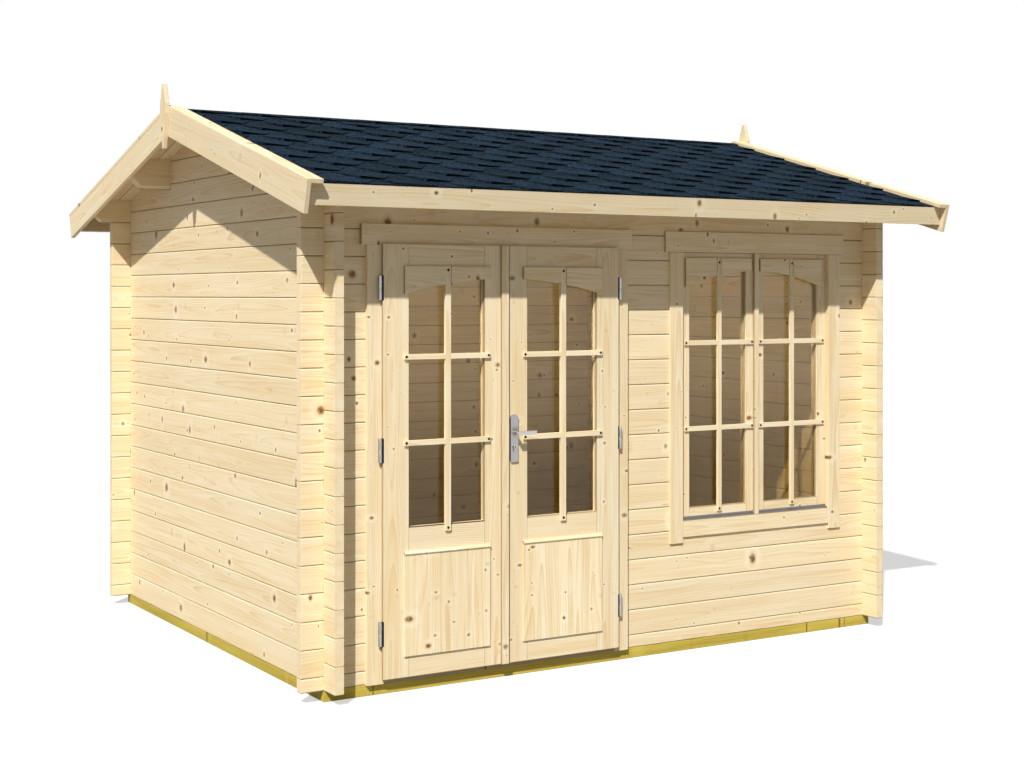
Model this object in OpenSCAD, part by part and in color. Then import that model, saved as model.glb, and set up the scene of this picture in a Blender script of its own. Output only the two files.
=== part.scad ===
// Garden cabin of crossed logs with a saddle roof, a double door and a double window.
// The origin is on the ground at the middle of the roof's outline. +X runs along the front
// and the front wall faces -Y.

/* [Cabin] */
// Width over the outer faces of the side walls
cabin_w = 3000; // [2800:10:4200]
// Depth over the outer faces of the front and rear walls
cabin_d = 2500; // [2000:10:3600]
// Number of full courses in the front and rear walls, above their half log
wall_courses = 18; // [18:1:22]

/* [Logs] */
// Height of one course
log_h = 114; // [94:1:140]
// Thickness of the logs
log_t = 44; // [34:1:60]
// Reach of the crossed log ends beyond the corner
corner_ext = 100; // [60:1:150]
// Bevel along the long edges of a log
log_bevel = 4; // [1:0.5:8]
// Open joint between two stacked logs
log_gap = 0.4; // [0.2:0.1:1]
// Room at each side of a corner notch
notch_room = 0.3; // [0.2:0.1:1]

/* [Base and floor] */
// Height of the treated base beams
beam_h = 46; // [36:1:90]
// Width of the treated base beams
beam_w = 70; // [60:1:120]
// Number of floor joists between the side beams
joist_count = 4; // [2:1:8]
// Thickness of the floor boards
floor_t = 18; // [14:1:28]

/* [Roof] */
// Pitch of both slopes in degrees
roof_pitch = 15.5; // [12:0.5:20]
// Height taken off the outer edge of the top log by the slope
top_log_cut = 5; // [2:1:20]
// Reach of the roof boards beyond the side walls
gable_overhang = 202; // [120:1:400]
// Reach of the front edge of the fascia beyond the front and rear walls
eaves_overhang = 288; // [180:1:400]
// Thickness of the roof boards
deck_t = 18; // [16:1:28]
// Thickness of the shingle cover
shingle_t = 3.9; // [3:0.1:8]
// Shingle edge beyond the fascia
shingle_drip = 10; // [4:1:30]
// Thickness of the fascia boards
fascia_t = 18; // [14:1:28]
// Height of the fascia boards
fascia_h = 90; // [60:1:140]
// Thickness of the barge boards
barge_t = 20; // [14:1:28]
// Height of the barge boards, square to the slope
barge_h = 120; // [90:1:180]
// Length of the barge boards beyond the fascia
barge_tail = 36; // [10:1:60]
// Width of the cap boards on the gable edges
cap_w = 70; // [50:1:120]
// Thickness of the cap boards
cap_t = 18; // [14:1:28]
// Distance from the ridge to the middle of each purlin
purlin_offset = 601; // [450:1:800]
// Thickness of the purlins
purlin_t = 44; // [34:1:90]
// Height of the purlins on their ridge side
purlin_h = 152; // [110:1:200]
// Bevel along the lower edges of the purlins
purlin_bevel = 16; // [4:1:18]
// Bevel under the free ends of purlins and top logs
end_bevel = 44; // [20:1:60]
// Thickness of the finials
finial_t = 20; // [14:1:28]
// Greatest width of the finials
finial_w = 76; // [50:1:120]
// Height of the finials above the underside of the ridge
finial_up = 139; // [110:1:200]
// Height of the finials' upright sides
finial_side = 47; // [20:1:60]
// Depth of the finials below the underside of the ridge
finial_down = 162; // [100:1:200]
// Width of the flats on the tips of the finials
finial_tip = 14; // [4:1:30]

/* [Frames] */
// Width of the frame posts seen from the front
post_face = 75; // [60:1:100]
// Cover of the frame posts over the log ends
post_cover = 26; // [15:1:35]
// Thickness of the frame cheeks proud of the wall
cheek_t = 20; // [14:1:28]
// Height of the door's frame head inside the wall
door_bar_h = 45; // [30:1:70]
// Height of the window's frame head inside the wall
window_bar_h = 54; // [30:1:70]
// Height of the window's bottom bar inside the wall
window_base_h = 31; // [20:1:60]
// Free height left above the frames for settling logs
settle_gap = 20; // [10:1:40]
// Reach of the head covers beyond the posts
head_reach = 26; // [10:1:50]

/* [Door] */
// Distance from the left wall's outer face to the door frame
door_from_left = 187; // [160:1:260]
// Width over the door frame
door_frame_w = 1313; // [1100:1:1313]
// Underside of the door's frame head above the ground
door_head_z = 1862; // [1700:1:1900]
// Height of the door's head cover
door_cover_h = 87; // [70:1:110]
// Thickness of the threshold
threshold_t = 15; // [12:1:30]
// Thickness of the leaves
leaf_t = 42; // [36:1:60]
// Thickness of the lip of the leaves in front of the frame
lip_t = 13; // [10:1:16]
// Overlap of the lip over the frame posts
lip_over = 12; // [8:1:20]
// Overlap of the lip over the frame head
lip_over_top = 5; // [3:1:12]
// Clearance of the leaves to everything that stays
leaf_gap = 5; // [5:0.5:8]
// Gap between the two leaves
meeting_gap = 9; // [8:0.5:12]
// Width of the left leaf
left_leaf_w = 601; // [520:1:640]
// Width of the outer stiles
stile_w = 120; // [90:1:130]
// Width of the glazed opening of each leaf
light_w = 366; // [300:1:380]
// Underside of the glazed opening above the ground
light_z = 687; // [500:1:900]
// Depth of the glazed opening in front of its beads
bead_depth = 13; // [8:1:18]
// Reach of the beads into the glazed openings
bead_w = 8; // [4:1:14]
// Height of the leaves' top rail
top_rail = 117; // [90:1:130]
// Width of the cover strip on the left leaf
strip_w = 36; // [24:1:45]
// Thickness of the cover strip, arched boards and weather bars
board_t = 12; // [8:1:18]
// Width left between the halves of an arched board for the glazing bar
bar_room = 27; // [18:1:40]
// Overlap of the boards on the leaves round the glazed opening
board_over = 24; // [15:1:30]
// Lower edge of the raised panels above the ground
panel_z = 152; // [120:1:250]
// Upper edge of the raised panels above the ground
panel_top_z = 576; // [400:1:640]
// Thickness of the raised panels
panel_t = 7; // [4:1:12]
// Height of the weather bar over the raised panels
drip_h = 13; // [8:1:24]
// Height of the weather bar's upright nose
drip_nose = 4; // [2:1:8]
// Upper edge of the arched boards above the ground
arch_top_z = 1776; // [1700:1:1780]
// Crown of the arch over both leaves above the ground
arch_crown_z = 1725; // [1600:1:1730]
// Radius of the arch over both leaves
arch_r = 1880; // [1200:10:3000]

/* [Ironwork] */
// Height of the hinge barrels
hinge_h = 100; // [70:1:140]
// Diameter of the hinge barrels
hinge_d = 15; // [12:0.5:20]
// Diameter of the hinge pins
hinge_pin_d = 8; // [6:0.5:10]
// Lower ends of the hinge barrels above the ground
hinge_zs = [205, 962, 1634];
// Height of the handle plates
plate_h = 206; // [160:1:260]
// Reach of the handle plates below the handle's axis
plate_down = 127; // [90:1:150]
// Width of the handle plates
plate_w = 38; // [30:1:50]
// Thickness of the handle plates
plate_t = 8; // [4:1:12]
// Radius of the handle plates' lower corners
plate_r = 5; // [1:1:10]
// Distance from the right leaf's free edge to the handle's axis
handle_in = 21; // [20:1:60]
// Height of the handle's axis above the ground
handle_z = 1060; // [900:1:1150]
// Length of the lever from its axis
lever_l = 88; // [80:1:130]
// Height of the lever
lever_h = 17; // [14:1:26]
// Thickness of the lever
lever_t = 12; // [8:1:18]
// Reach of the lever in front of its plate
lever_out = 44; // [35:1:60]
// Diameter of the lever's neck
neck_d = 18; // [14:1:22]
// Distance from the handle's axis down to the lock cylinder's axis
lock_down = 59; // [50:1:92]

/* [Window] */
// Distance from the right wall's outer face to the window frame
window_from_right = 202; // [160:1:300]
// Width over the window frame
window_frame_w = 1050; // [800:1:1050]
// Lower ends of the window's outer posts above the ground
window_post_z = 501; // [450:1:540]
// Upper edge of the window's bottom trim above the ground
window_sill_z = 603; // [520:1:700]
// Height of the window's bottom trim
window_trim_h = 75; // [60:1:90]
// Underside of the window's frame head above the ground
window_head_z = 1853; // [1500:1:1900]
// Height of the window's head cover
window_cover_h = 97; // [70:1:110]
// Distance of the sashes behind the wall's outer face
sash_back = 15; // [12:1:24]
// Thickness of the sashes
sash_t = 42; // [30:1:48]
// Width of the sash stiles and top rails
sash_face = 54; // [40:1:70]
// Height of the sashes' bottom rails
sash_rail_h = 68; // [50:1:90]
// Part of the sashes' bottom rail hidden by the bottom trim
sash_hidden = 13; // [5:1:25]
// Width of the cover strip between the sashes
mullion_w = 27; // [20:1:40]
// Overlap of the arched boards on the sashes
sash_board_over = 27; // [15:1:30]
// Thickness of the sashes' arched boards
sash_board_t = 10; // [6:1:12]
// Upper edge of the sashes' arched boards above the ground
sash_arch_top_z = 1829; // [1400:1:1840]
// Crown of the arch over both sashes above the ground
sash_arch_crown_z = 1769; // [1350:1:1780]
// Radius of the arch over both sashes
sash_arch_r = 1178; // [900:1:1600]
// Thickness of the panes
glass_t = 4; // [3:0.5:6]
// Cover of the beads over the edges of the panes
glass_groove = 10; // [6:1:14]
// Distance of the door panes behind the leaves' front face
door_glass_back = 25; // [16:1:28]
// Distance of the window panes behind the sashes' front face
sash_glass_back = 15; // [8:1:24]
// Thickness of the beads in front of the window panes
sash_bead_t = 8; // [4:1:12]
// Height of the metal drip sill
sill_h = 17; // [14:1:24]
// Height of the drip sill's upstand against the sashes
sill_up = 7; // [4:1:9]
// Height of the drip sill's upright front
sill_lip = 5; // [2:1:5]
// Thickness of the drip sill's metal
sill_t = 1.5; // [1:0.5:3]

/* [Hidden] */
$fn = 48;
// Seats between pieces, sinks of joined shapes, overshoot of cuts and of endless cuts
seat_gap = 0.3;
slit = 0.01;
over = 1;
reach = 5000;
// Hinges: room round the pin, distance and thickness of the arms, closed ends of the barrels
barrel_room = 0.1;
hinge_side = 3.5;
arm_d = 8;
barrel_cap = 4;
pin_end_room = 4;
// Handle: room round the spindle in the leaf, and the lock cylinder's outline
spindle_room = 5;
lock_d = 17;
lock_w = 10;
lock_h = 33;
lock_proud = 2;

half_w = cabin_w / 2;
half_d = cabin_d / 2;
wall_y = -half_d;
inner_y = wall_y + log_t;

// Courses: the front and rear walls start with a half log, the side walls with a full one.
first_z = beam_h + log_h / 2;
notch_d = log_h / 4;
rise = tan(roof_pitch);
eaves_z = first_z + wall_courses * log_h - top_log_cut;
ridge_z = eaves_z + half_d * rise;
side_courses = ceil((ridge_z - beam_h) / log_h);
crossing_courses = ceil((eaves_z + log_t - beam_h) / log_h);
corner_xs = [-half_w + log_t / 2, half_w - log_t / 2];
corner_ys = [-half_d + log_t / 2, half_d - log_t / 2];
purlin_z = ridge_z - (purlin_offset - purlin_t / 2) * rise - purlin_h;

// Roof: s runs down the slope from the ridge, n stands square on the roof boards' underside.
fascia_s = (half_d + eaves_overhang) / cos(roof_pitch);
deck_s = fascia_s - fascia_t - seat_gap;
barge_s = fascia_s + barge_tail;
shingle_n = deck_t + seat_gap;
cap_n = shingle_n + shingle_t + seat_gap;
roof_x = half_w + gable_overhang;
barge_x = roof_x + seat_gap;
finial_x = barge_x + barge_t + seat_gap;

// Door: the leaves' lips lie in front of the frame, their bodies stand inside it.
door_x0 = -half_w + door_from_left;
door_x1 = door_x0 + door_frame_w;
door_in0 = door_x0 + post_face;
door_in1 = door_x1 - post_face;
frame_front = wall_y - cheek_t;
frame_back = inner_y + cheek_t;
lip_back = frame_front - leaf_gap;
leaf_front = lip_back - lip_t;
leaf_back = leaf_front + leaf_t;
leaf_x0 = door_in0 - lip_over;
leaf_x1 = door_in1 + lip_over;
meet_x0 = leaf_x0 + left_leaf_w;
meet_x1 = meet_x0 + meeting_gap;
door_mid = (leaf_x0 + leaf_x1) / 2;
threshold_z = beam_h + threshold_t;
leaf_z0 = threshold_z + leaf_gap;
leaf_z1 = door_head_z + lip_over_top;
light_top_z = leaf_z1 - top_rail;
left_light_x = leaf_x0 + stile_w;
right_light_x = leaf_x1 - stile_w - light_w;
door_open_x0 = door_x0 + post_cover;
door_open_x1 = door_x1 - post_cover;
door_open_z = door_head_z + door_bar_h + settle_gap;

// Hinges stand in the corner between the lip and the frame.
hinge_x0 = leaf_x0 - hinge_d / 2 - hinge_side;
hinge_x1 = leaf_x1 + hinge_d / 2 + hinge_side;
hinge_y = frame_front - leaf_gap - hinge_d / 2;
handle_x = meet_x1 + handle_in;

// The panes reach past the front edge of their openings by this much.
glass_in = glass_groove - bead_w;

// Window: the sashes stand back behind the wall's outer face.
win_x1 = half_w - window_from_right;
win_x0 = win_x1 - window_frame_w;
win_in0 = win_x0 + post_face;
win_in1 = win_x1 - post_face;
win_mid = (win_in0 + win_in1) / 2;
win_open_x0 = win_x0 + post_cover;
win_open_x1 = win_x1 - post_cover;
sash_z0 = window_sill_z - sash_hidden;
win_open_z0 = sash_z0 - window_base_h;
win_open_z1 = window_head_z + window_bar_h + settle_gap;
sash_front = wall_y + sash_back;
sash_w = (win_in1 - win_in0) / 2 - 1.5 * seat_gap;
sash_x0 = win_in0 + seat_gap;
sash_x1 = win_in1 - seat_gap - sash_w;
sash_light_w = sash_w - 2 * sash_face;
sash_light_z0 = sash_z0 + sash_rail_h;
sash_light_z1 = window_head_z - seat_gap - sash_face;

// Courses of the front wall that pass over the openings and below the window.
over_course = floor((door_open_z + over - first_z) / log_h);
below_course = ceil((win_open_z0 - over - first_z) / log_h);

spruce = "BurlyWood";
treated = "DarkKhaki";

// A box between two corners
module box(low, high) {
    translate(low) cube(high - low);
}

// A log along X from x0 to x1 and from 0 to h in height, with bevelled long edges
module log_bar(x0, x1, h) {
    b = log_bevel;
    translate([x0, 0, 0]) rotate([90, 0, 90]) linear_extrude(x1 - x0)
        polygon([[b, 0], [log_t - b, 0], [log_t, b], [log_t, h - b],
                 [log_t - b, h], [b, h], [0, h - b], [0, b]]);
}

// A log that crosses others at the given places, notched there above and below
module notched_log(x0, x1, z, h, crossings, below = true) {
    notch_w = log_t + 2 * notch_room;
    translate([0, 0, z + log_gap / 2]) difference() {
        log_bar(x0, x1, h - log_gap);
        for (x = crossings) {
            translate([x - notch_w / 2, -over, h - notch_d - log_gap])
                cube([notch_w, log_t + 2 * over, log_h]);
            if (below) translate([x - notch_w / 2, -over, -over])
                cube([notch_w, log_t + 2 * over, notch_d + over]);
        }
    }
}

// Space under the roof boards, which walls and purlins are cut to
module under_roof() {
    low = ridge_z - seat_gap / cos(roof_pitch);
    translate([-reach, 0, 0]) rotate([90, 0, 90]) linear_extrude(2 * reach)
        polygon([[-reach, -reach], [reach, -reach], [reach, low - reach * rise],
                 [0, low], [-reach, low - reach * rise]]);
}

// The two purlins' way through the gables, with room round it
module purlin_ways(room) {
    for (side = [-1, 1])
        translate([-reach, side * purlin_offset - purlin_t / 2 - room, purlin_z - room])
            cube([2 * reach, purlin_t + 2 * room, 2 * purlin_h]);
}

// Courses of the front wall between x0 and x1: from -1, the half log, up to but not with to
module front_courses(x0, x1, from, to, crossings) {
    if (from < 0)
        translate([0, wall_y, 0]) notched_log(x0, x1, beam_h, log_h / 2, crossings, false);
    for (i = [max(from, 0) : to - 1])
        translate([0, wall_y, 0]) notched_log(x0, x1, first_z + i * log_h, log_h, crossings);
}

// The top log carries the roof: it reaches out under the gable edges and follows the slope
module top_course() {
    z = first_z + (wall_courses - 1) * log_h;
    intersection() {
        difference() {
            translate([0, wall_y, 0])
                notched_log(-roof_x, roof_x, z, log_h + log_t * rise, corner_xs);
            end_bevels(z + log_gap / 2);
            roof_edge_notches(z);
        }
        under_roof();
    }
}

// Room for the top side logs where they cross the raised top log
module roof_edge_notches(z) {
    for (x = corner_xs)
        translate([x - log_t / 2 - notch_room, wall_y - over, z + log_h - notch_d - log_gap / 2])
            cube([log_t + 2 * notch_room, log_t + 2 * over, log_h]);
}

// Bevels under both free ends of a bar whose underside is at z
module end_bevels(z) {
    for (side = [-1, 1])
        translate([side * roof_x, reach, z]) rotate([90, 0, 0]) linear_extrude(2 * reach)
            polygon([[-side * end_bevel, -over], [side * over, -over],
                     [side * over, end_bevel + over], [0, end_bevel], [-side * end_bevel, 0]]);
}

// The left wall with its gable: notched logs up to the eaves, then logs cut to the roof
module side_wall() {
    intersection() {
        difference() {
            translate([-half_w + log_t, 0, 0]) rotate([0, 0, 90])
                for (i = [0 : side_courses - 1])
                    notched_log(-half_d - corner_ext, half_d + corner_ext, beam_h + i * log_h,
                                log_h, i < crossing_courses ? corner_ys : []);
            purlin_ways(seat_gap);
        }
        under_roof();
    }
}

// The doorway and the window opening, cut through the front wall's logs
module front_openings() {
    box([door_open_x0, wall_y - over, 0], [door_open_x1, inner_y + over, door_open_z]);
    box([win_open_x0, wall_y - over, win_open_z0], [win_open_x1, inner_y + over, win_open_z1]);
}

// Base
module front_base_beam() {
    color(treated) box([-half_w, wall_y, 0], [half_w, wall_y + beam_w, beam_h]);
}
module rear_base_beam() {
    mirror([0, 1, 0]) front_base_beam();
}
module left_base_beam() {
    color(treated) box([-half_w, wall_y + beam_w + seat_gap, 0],
                       [-half_w + beam_w, half_d - beam_w - seat_gap, beam_h]);
}
module right_base_beam() {
    mirror([1, 0, 0]) left_base_beam();
}
module floor_joists() {
    spacing = (cabin_w - beam_w) / (joist_count + 1);
    color(treated) for (i = [1 : joist_count])
        translate([-half_w + i * spacing, 0, 0])
            box([0, wall_y + beam_w + seat_gap, 0],
                [beam_w, half_d - beam_w - seat_gap, beam_h]);
}
module floor_boards() {
    side = half_w - log_t - seat_gap;
    end = half_d - log_t - seat_gap;
    color(spruce) box([-side, -end, beam_h], [side, end, beam_h + floor_t]);
}

// Walls
module left_wall() {
    color(spruce) side_wall();
}
module right_wall() {
    color(spruce) mirror([1, 0, 0]) side_wall();
}
module rear_wall() {
    color(spruce) mirror([0, 1, 0]) {
        front_courses(-half_w - corner_ext, half_w + corner_ext, -1, wall_courses - 1, corner_xs);
        top_course();
    }
}
module front_wall_left_of_door() {
    color(spruce)
        front_courses(-half_w - corner_ext, door_open_x0, -1, over_course, [corner_xs[0]]);
}
module front_wall_middle() {
    color(spruce) difference() {
        front_courses(door_open_x1, win_open_x0, below_course, over_course, []);
        front_openings();
    }
}
module front_wall_right_of_window() {
    color(spruce)
        front_courses(win_open_x1, half_w + corner_ext, below_course, over_course, [corner_xs[1]]);
}
module front_wall_below_window() {
    color(spruce) difference() {
        front_courses(door_open_x1, half_w + corner_ext, -1, below_course, [corner_xs[1]]);
        front_openings();
    }
}
module front_wall_top() {
    color(spruce) difference() {
        union() {
            front_courses(-half_w - corner_ext, half_w + corner_ext, over_course,
                          wall_courses - 1, corner_xs);
            top_course();
        }
        front_openings();
    }
}

// Roof: the front slope is drawn, and the rear one is its mirror image
module front_slope() {
    translate([0, 0, ridge_z]) rotate([roof_pitch, 0, 0]) children();
}

// A board on the front slope, mitred at the ridge, from n0 to n1 and down to s1
module slope_board(x0, x1, n0, n1, s1) {
    half_joint = seat_gap / 2;
    front_slope() translate([x0, 0, 0]) rotate([90, 0, 90]) linear_extrude(x1 - x0)
        polygon([[n0 * rise - half_joint, n0], [n1 * rise - half_joint, n1], [-s1, n1], [-s1, n0]]);
}
module both_slopes() {
    children();
    mirror([0, 1, 0]) children();
}
// Outline of a purlin from the front, drawn in by d along its bottom and end bevels
module purlin_outline(d) {
    up = end_bevel + d * sqrt(2);
    high = 2 * purlin_h;
    polygon([[-roof_x, high], [-roof_x, up], [-roof_x + up - d, d], [roof_x - up + d, d],
             [roof_x, up], [roof_x, high]]);
}
module front_purlin() {
    color(spruce) intersection() {
        translate([0, -purlin_offset + purlin_t / 2, purlin_z]) hull() {
            rotate([90, 0, 0]) linear_extrude(purlin_t) purlin_outline(purlin_bevel);
            translate([0, -purlin_bevel, 0]) rotate([90, 0, 0])
                linear_extrude(purlin_t - 2 * purlin_bevel) purlin_outline(0);
        }
        under_roof();
    }
}
module rear_purlin() {
    mirror([0, 1, 0]) front_purlin();
}
module front_roof_boards() {
    color(spruce) slope_board(-roof_x, roof_x, 0, deck_t, deck_s);
}
module rear_roof_boards() {
    mirror([0, 1, 0]) front_roof_boards();
}
module front_shingles() {
    color("DarkSlateGray") slope_board(-roof_x, roof_x, shingle_n, shingle_n + shingle_t,
                                       fascia_s + shingle_drip);
}
module rear_shingles() {
    mirror([0, 1, 0]) front_shingles();
}
module front_fascia() {
    color(spruce) front_slope()
        box([-roof_x, -fascia_s, deck_t - fascia_h], [roof_x, -deck_s - seat_gap, deck_t]);
}
module rear_fascia() {
    mirror([0, 1, 0]) front_fascia();
}
module left_barge_boards() {
    top = cap_n - seat_gap;
    color(spruce) both_slopes()
        slope_board(-barge_x - barge_t, -barge_x, top - barge_h, top, barge_s);
}
module right_barge_boards() {
    mirror([1, 0, 0]) left_barge_boards();
}
module left_cap_boards() {
    outer = barge_x + barge_t;
    color(spruce) both_slopes()
        slope_board(-outer, -outer + cap_w, cap_n, cap_n + cap_t, barge_s);
}
module right_cap_boards() {
    mirror([1, 0, 0]) left_cap_boards();
}
module left_finial() {
    tip = finial_tip / 2;
    wide = finial_w / 2;
    color(spruce) translate([-finial_x - finial_t, 0, ridge_z]) rotate([90, 0, 90])
        linear_extrude(finial_t)
            polygon([[-tip, finial_up], [-wide, finial_side], [-wide, 0], [-tip, -finial_down],
                     [tip, -finial_down], [wide, 0], [wide, finial_side], [tip, finial_up]]);
}
module right_finial() {
    mirror([1, 0, 0]) left_finial();
}

// Frames: a post wraps the log ends, x is its outer edge and side points to the opening
module frame_post(x, side, z0, z1) {
    translate([x, 0, z0]) linear_extrude(z1 - z0) scale_x(side)
        polygon([[0, frame_front], [post_face, frame_front], [post_face, frame_back],
                 [0, frame_back], [0, inner_y + seat_gap],
                 [post_cover + seat_gap, inner_y + seat_gap],
                 [post_cover + seat_gap, wall_y - seat_gap], [0, wall_y - seat_gap]]);
}
module scale_x(side) {
    if (side > 0) children();
    else mirror([1, 0, 0]) children();
}

// Head of a frame: the bar in the wall with a cover board on both faces
module frame_head(x0, x1, z, bar_h, cover_h) {
    box([x0 + post_cover + seat_gap, wall_y - seat_gap, z + seat_gap],
        [x1 - post_cover - seat_gap, inner_y + seat_gap, z + bar_h]);
    for (y = [frame_front, inner_y + seat_gap])
        box([x0 - head_reach, y, z + seat_gap],
            [x1 + head_reach, y + cheek_t - seat_gap, z + cover_h]);
}

module door_frame() {
    color(spruce) difference() {
        union() {
            frame_post(door_x0, 1, beam_h, door_head_z);
            frame_post(door_x1, -1, beam_h, door_head_z);
            frame_head(door_x0, door_x1, door_head_z, door_bar_h, door_cover_h);
            box([door_in0 + seat_gap, frame_front, beam_h],
                [door_in1 - seat_gap, inner_y, threshold_z]);
        }
        box([-reach, inner_y + seat_gap / 2, 0], [reach, reach, beam_h + floor_t + seat_gap]);
    }
}

// Groove for a pane behind an opening, and the pane that fills it
module glass_room(x0, z0, x1, z1, y) {
    box([x0 - glass_in, y - seat_gap, z0 - glass_in],
        [x1 + glass_in, y + glass_t + seat_gap, z1 + glass_in]);
}
module pane(x0, z0, x1, z1, y) {
    edge = glass_in - seat_gap;
    color("LightSteelBlue", 0.4)
        box([x0 - edge, y, z0 - edge], [x1 + edge, y + glass_t, z1 + edge]);
}

// A leaf from x0 to x1: lip_x is the hinged edge of the lip, body_x that of the body
module leaf(x0, x1, body_x0, body_x1, light_x) {
    glass_y = leaf_front + door_glass_back;
    difference() {
        union() {
            box([x0, leaf_front, leaf_z0], [x1, lip_back, leaf_z1]);
            box([body_x0, lip_back - slit, leaf_z0],
                [body_x1, leaf_back, door_head_z - leaf_gap]);
        }
        box([light_x, leaf_front - over, light_z],
            [light_x + light_w, leaf_front + bead_depth, light_top_z]);
        box([light_x + bead_w, leaf_front - over, light_z + bead_w],
            [light_x + light_w - bead_w, leaf_back + over, light_top_z - bead_w]);
        glass_room(light_x, light_z, light_x + light_w, light_top_z, glass_y);
    }
}
module leaf_glass(light_x) {
    pane(light_x, light_z, light_x + light_w, light_top_z, leaf_front + door_glass_back);
}

// Board over a light, parted for the glazing bar, whose lower edge follows an arch about mid
module arched_board(x0, x1, mid, top_z, crown_z, r, y, t) {
    low_z = crown_z - r / 2;
    translate([0, y + t, 0]) rotate([90, 0, 0]) linear_extrude(t) difference() {
        translate([x0, low_z]) square([x1 - x0, top_z - low_z]);
        translate([mid, crown_z - r]) circle(r, $fn = 360);
        translate([(x0 + x1 - bar_room) / 2, low_z]) square([bar_room, top_z - low_z + over]);
    }
}

// Boards on a leaf's front: the arched top board, the raised panel and its weather bar
module leaf_boards(light_x) {
    x0 = light_x - board_over;
    x1 = light_x + light_w + board_over;
    y = leaf_front - seat_gap;
    arched_board(x0, x1, door_mid, arch_top_z, arch_crown_z, arch_r, y - board_t, board_t);
    box([x0, y - panel_t, panel_z], [x1, y, panel_top_z]);
    translate([x0, y, panel_top_z + seat_gap]) rotate([90, 0, 90]) linear_extrude(x1 - x0)
        polygon([[0, 0], [-board_t, 0], [-board_t, drip_nose], [-panel_t, drip_h], [0, drip_h]]);
}

module left_door_leaf() {
    color(spruce) leaf(leaf_x0, meet_x0, door_in0 + leaf_gap, meet_x0, left_light_x);
}
module left_door_boards() {
    color(spruce) {
        leaf_boards(left_light_x);
        box([meet_x0 - strip_w, leaf_front - seat_gap - board_t, leaf_z0],
            [meet_x0, leaf_front - seat_gap, leaf_z1]);
    }
}
module left_door_glass() {
    leaf_glass(left_light_x);
}
module right_door_leaf() {
    color(spruce) difference() {
        leaf(meet_x1, leaf_x1, meet_x1, door_in1 - leaf_gap, right_light_x);
        translate([handle_x, leaf_back + over, handle_z]) rotate([90, 0, 0])
            cylinder(d = neck_d + 2 * spindle_room, h = leaf_t + 2 * over);
        lock_bore(2 * seat_gap);
    }
}
module right_door_boards() {
    color(spruce) leaf_boards(right_light_x);
}
module right_door_glass() {
    leaf_glass(right_light_x);
}

// Hinges: the lower half with its pin is set in the frame, the upper half in the leaf
module leaf_hinge(x, side) {
    z0 = hinge_h / 2 + seat_gap;
    difference() {
        union() {
            translate([x, hinge_y, z0]) cylinder(d = hinge_d, h = hinge_h - z0);
            translate([x, hinge_y, z0 + hinge_h / 4]) rotate([0, side * 90, 0])
                cylinder(d = arm_d, h = hinge_d / 2 + hinge_side - slit);
        }
        translate([x, hinge_y, z0 - over])
            cylinder(d = hinge_pin_d + 2 * barrel_room, h = hinge_h - barrel_cap - z0 + over);
    }
}
module frame_hinge(x) {
    translate([x, hinge_y, 0]) {
        cylinder(d = hinge_d, h = hinge_h / 2);
        cylinder(d = hinge_pin_d, h = hinge_h - barrel_cap - pin_end_room);
        translate([0, 0, hinge_h / 4]) rotate([-90, 0, 0])
            cylinder(d = arm_d, h = frame_front - hinge_y - slit);
    }
}
module left_door_hinges() {
    color("Silver") for (z = hinge_zs) translate([0, 0, z]) leaf_hinge(hinge_x0, 1);
}
module right_door_hinges() {
    color("Silver") for (z = hinge_zs) translate([0, 0, z]) leaf_hinge(hinge_x1, -1);
}
module frame_hinges() {
    color("Silver") for (z = hinge_zs) translate([0, 0, z]) {
        frame_hinge(hinge_x0);
        frame_hinge(hinge_x1);
    }
}

// Handle: long plates on both faces of the right leaf, a lever on each, and a lock cylinder
module lock_outline(room) {
    circle(d = lock_d + 2 * room);
    translate([-lock_w / 2 - room, lock_d / 2 - lock_h - room])
        square([lock_w + 2 * room, lock_h - lock_d / 2]);
}
module lock_bore(room) {
    translate([handle_x, leaf_back + plate_t + over, handle_z - lock_down]) rotate([90, 0, 0])
        linear_extrude(leaf_t + 2 * plate_t + 2 * over) lock_outline(room);
}
module handle_plates() {
    color("Silver") {
        for (y = [leaf_front - seat_gap, leaf_back + seat_gap + plate_t])
            difference() {
                translate([handle_x - plate_w / 2, y, handle_z - plate_down]) rotate([90, 0, 0])
                    linear_extrude(plate_t) plate_outline();
                translate([handle_x, y + over, handle_z]) rotate([90, 0, 0])
                    cylinder(d = neck_d + 2 * barrel_room, h = plate_t + 2 * over);
                lock_bore(seat_gap);
            }
        translate([handle_x, leaf_back + plate_t + lock_proud, handle_z - lock_down])
            rotate([90, 0, 0]) linear_extrude(leaf_t + 2 * (plate_t + lock_proud)) lock_outline(0);
    }
}
module plate_outline() {
    top_r = plate_w / 2;
    translate([top_r, plate_h - top_r]) intersection() {
        circle(top_r);
        translate([-top_r, 0]) square([plate_w, top_r]);
    }
    translate([0, plate_r]) square([plate_w, plate_h - top_r - plate_r]);
    translate([plate_r, 0]) square([plate_w - 2 * plate_r, plate_h - top_r]);
    translate([plate_r, plate_r]) circle(plate_r);
    translate([plate_w - plate_r, plate_r]) circle(plate_r);
}
module lever_handle() {
    front = leaf_front - seat_gap - plate_t - lever_out;
    back = leaf_back + seat_gap + plate_t + lever_out;
    color("Silver") {
        translate([handle_x, back - lever_t / 2, handle_z]) rotate([90, 0, 0])
            cylinder(d = neck_d, h = back - front - lever_t);
        for (y = [front + lever_t, back])
            translate([handle_x, y, handle_z]) rotate([90, 0, 0]) linear_extrude(lever_t) {
                circle(d = lever_h);
                translate([0, -lever_h / 2]) square([lever_l, lever_h]);
            }
    }
}

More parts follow.
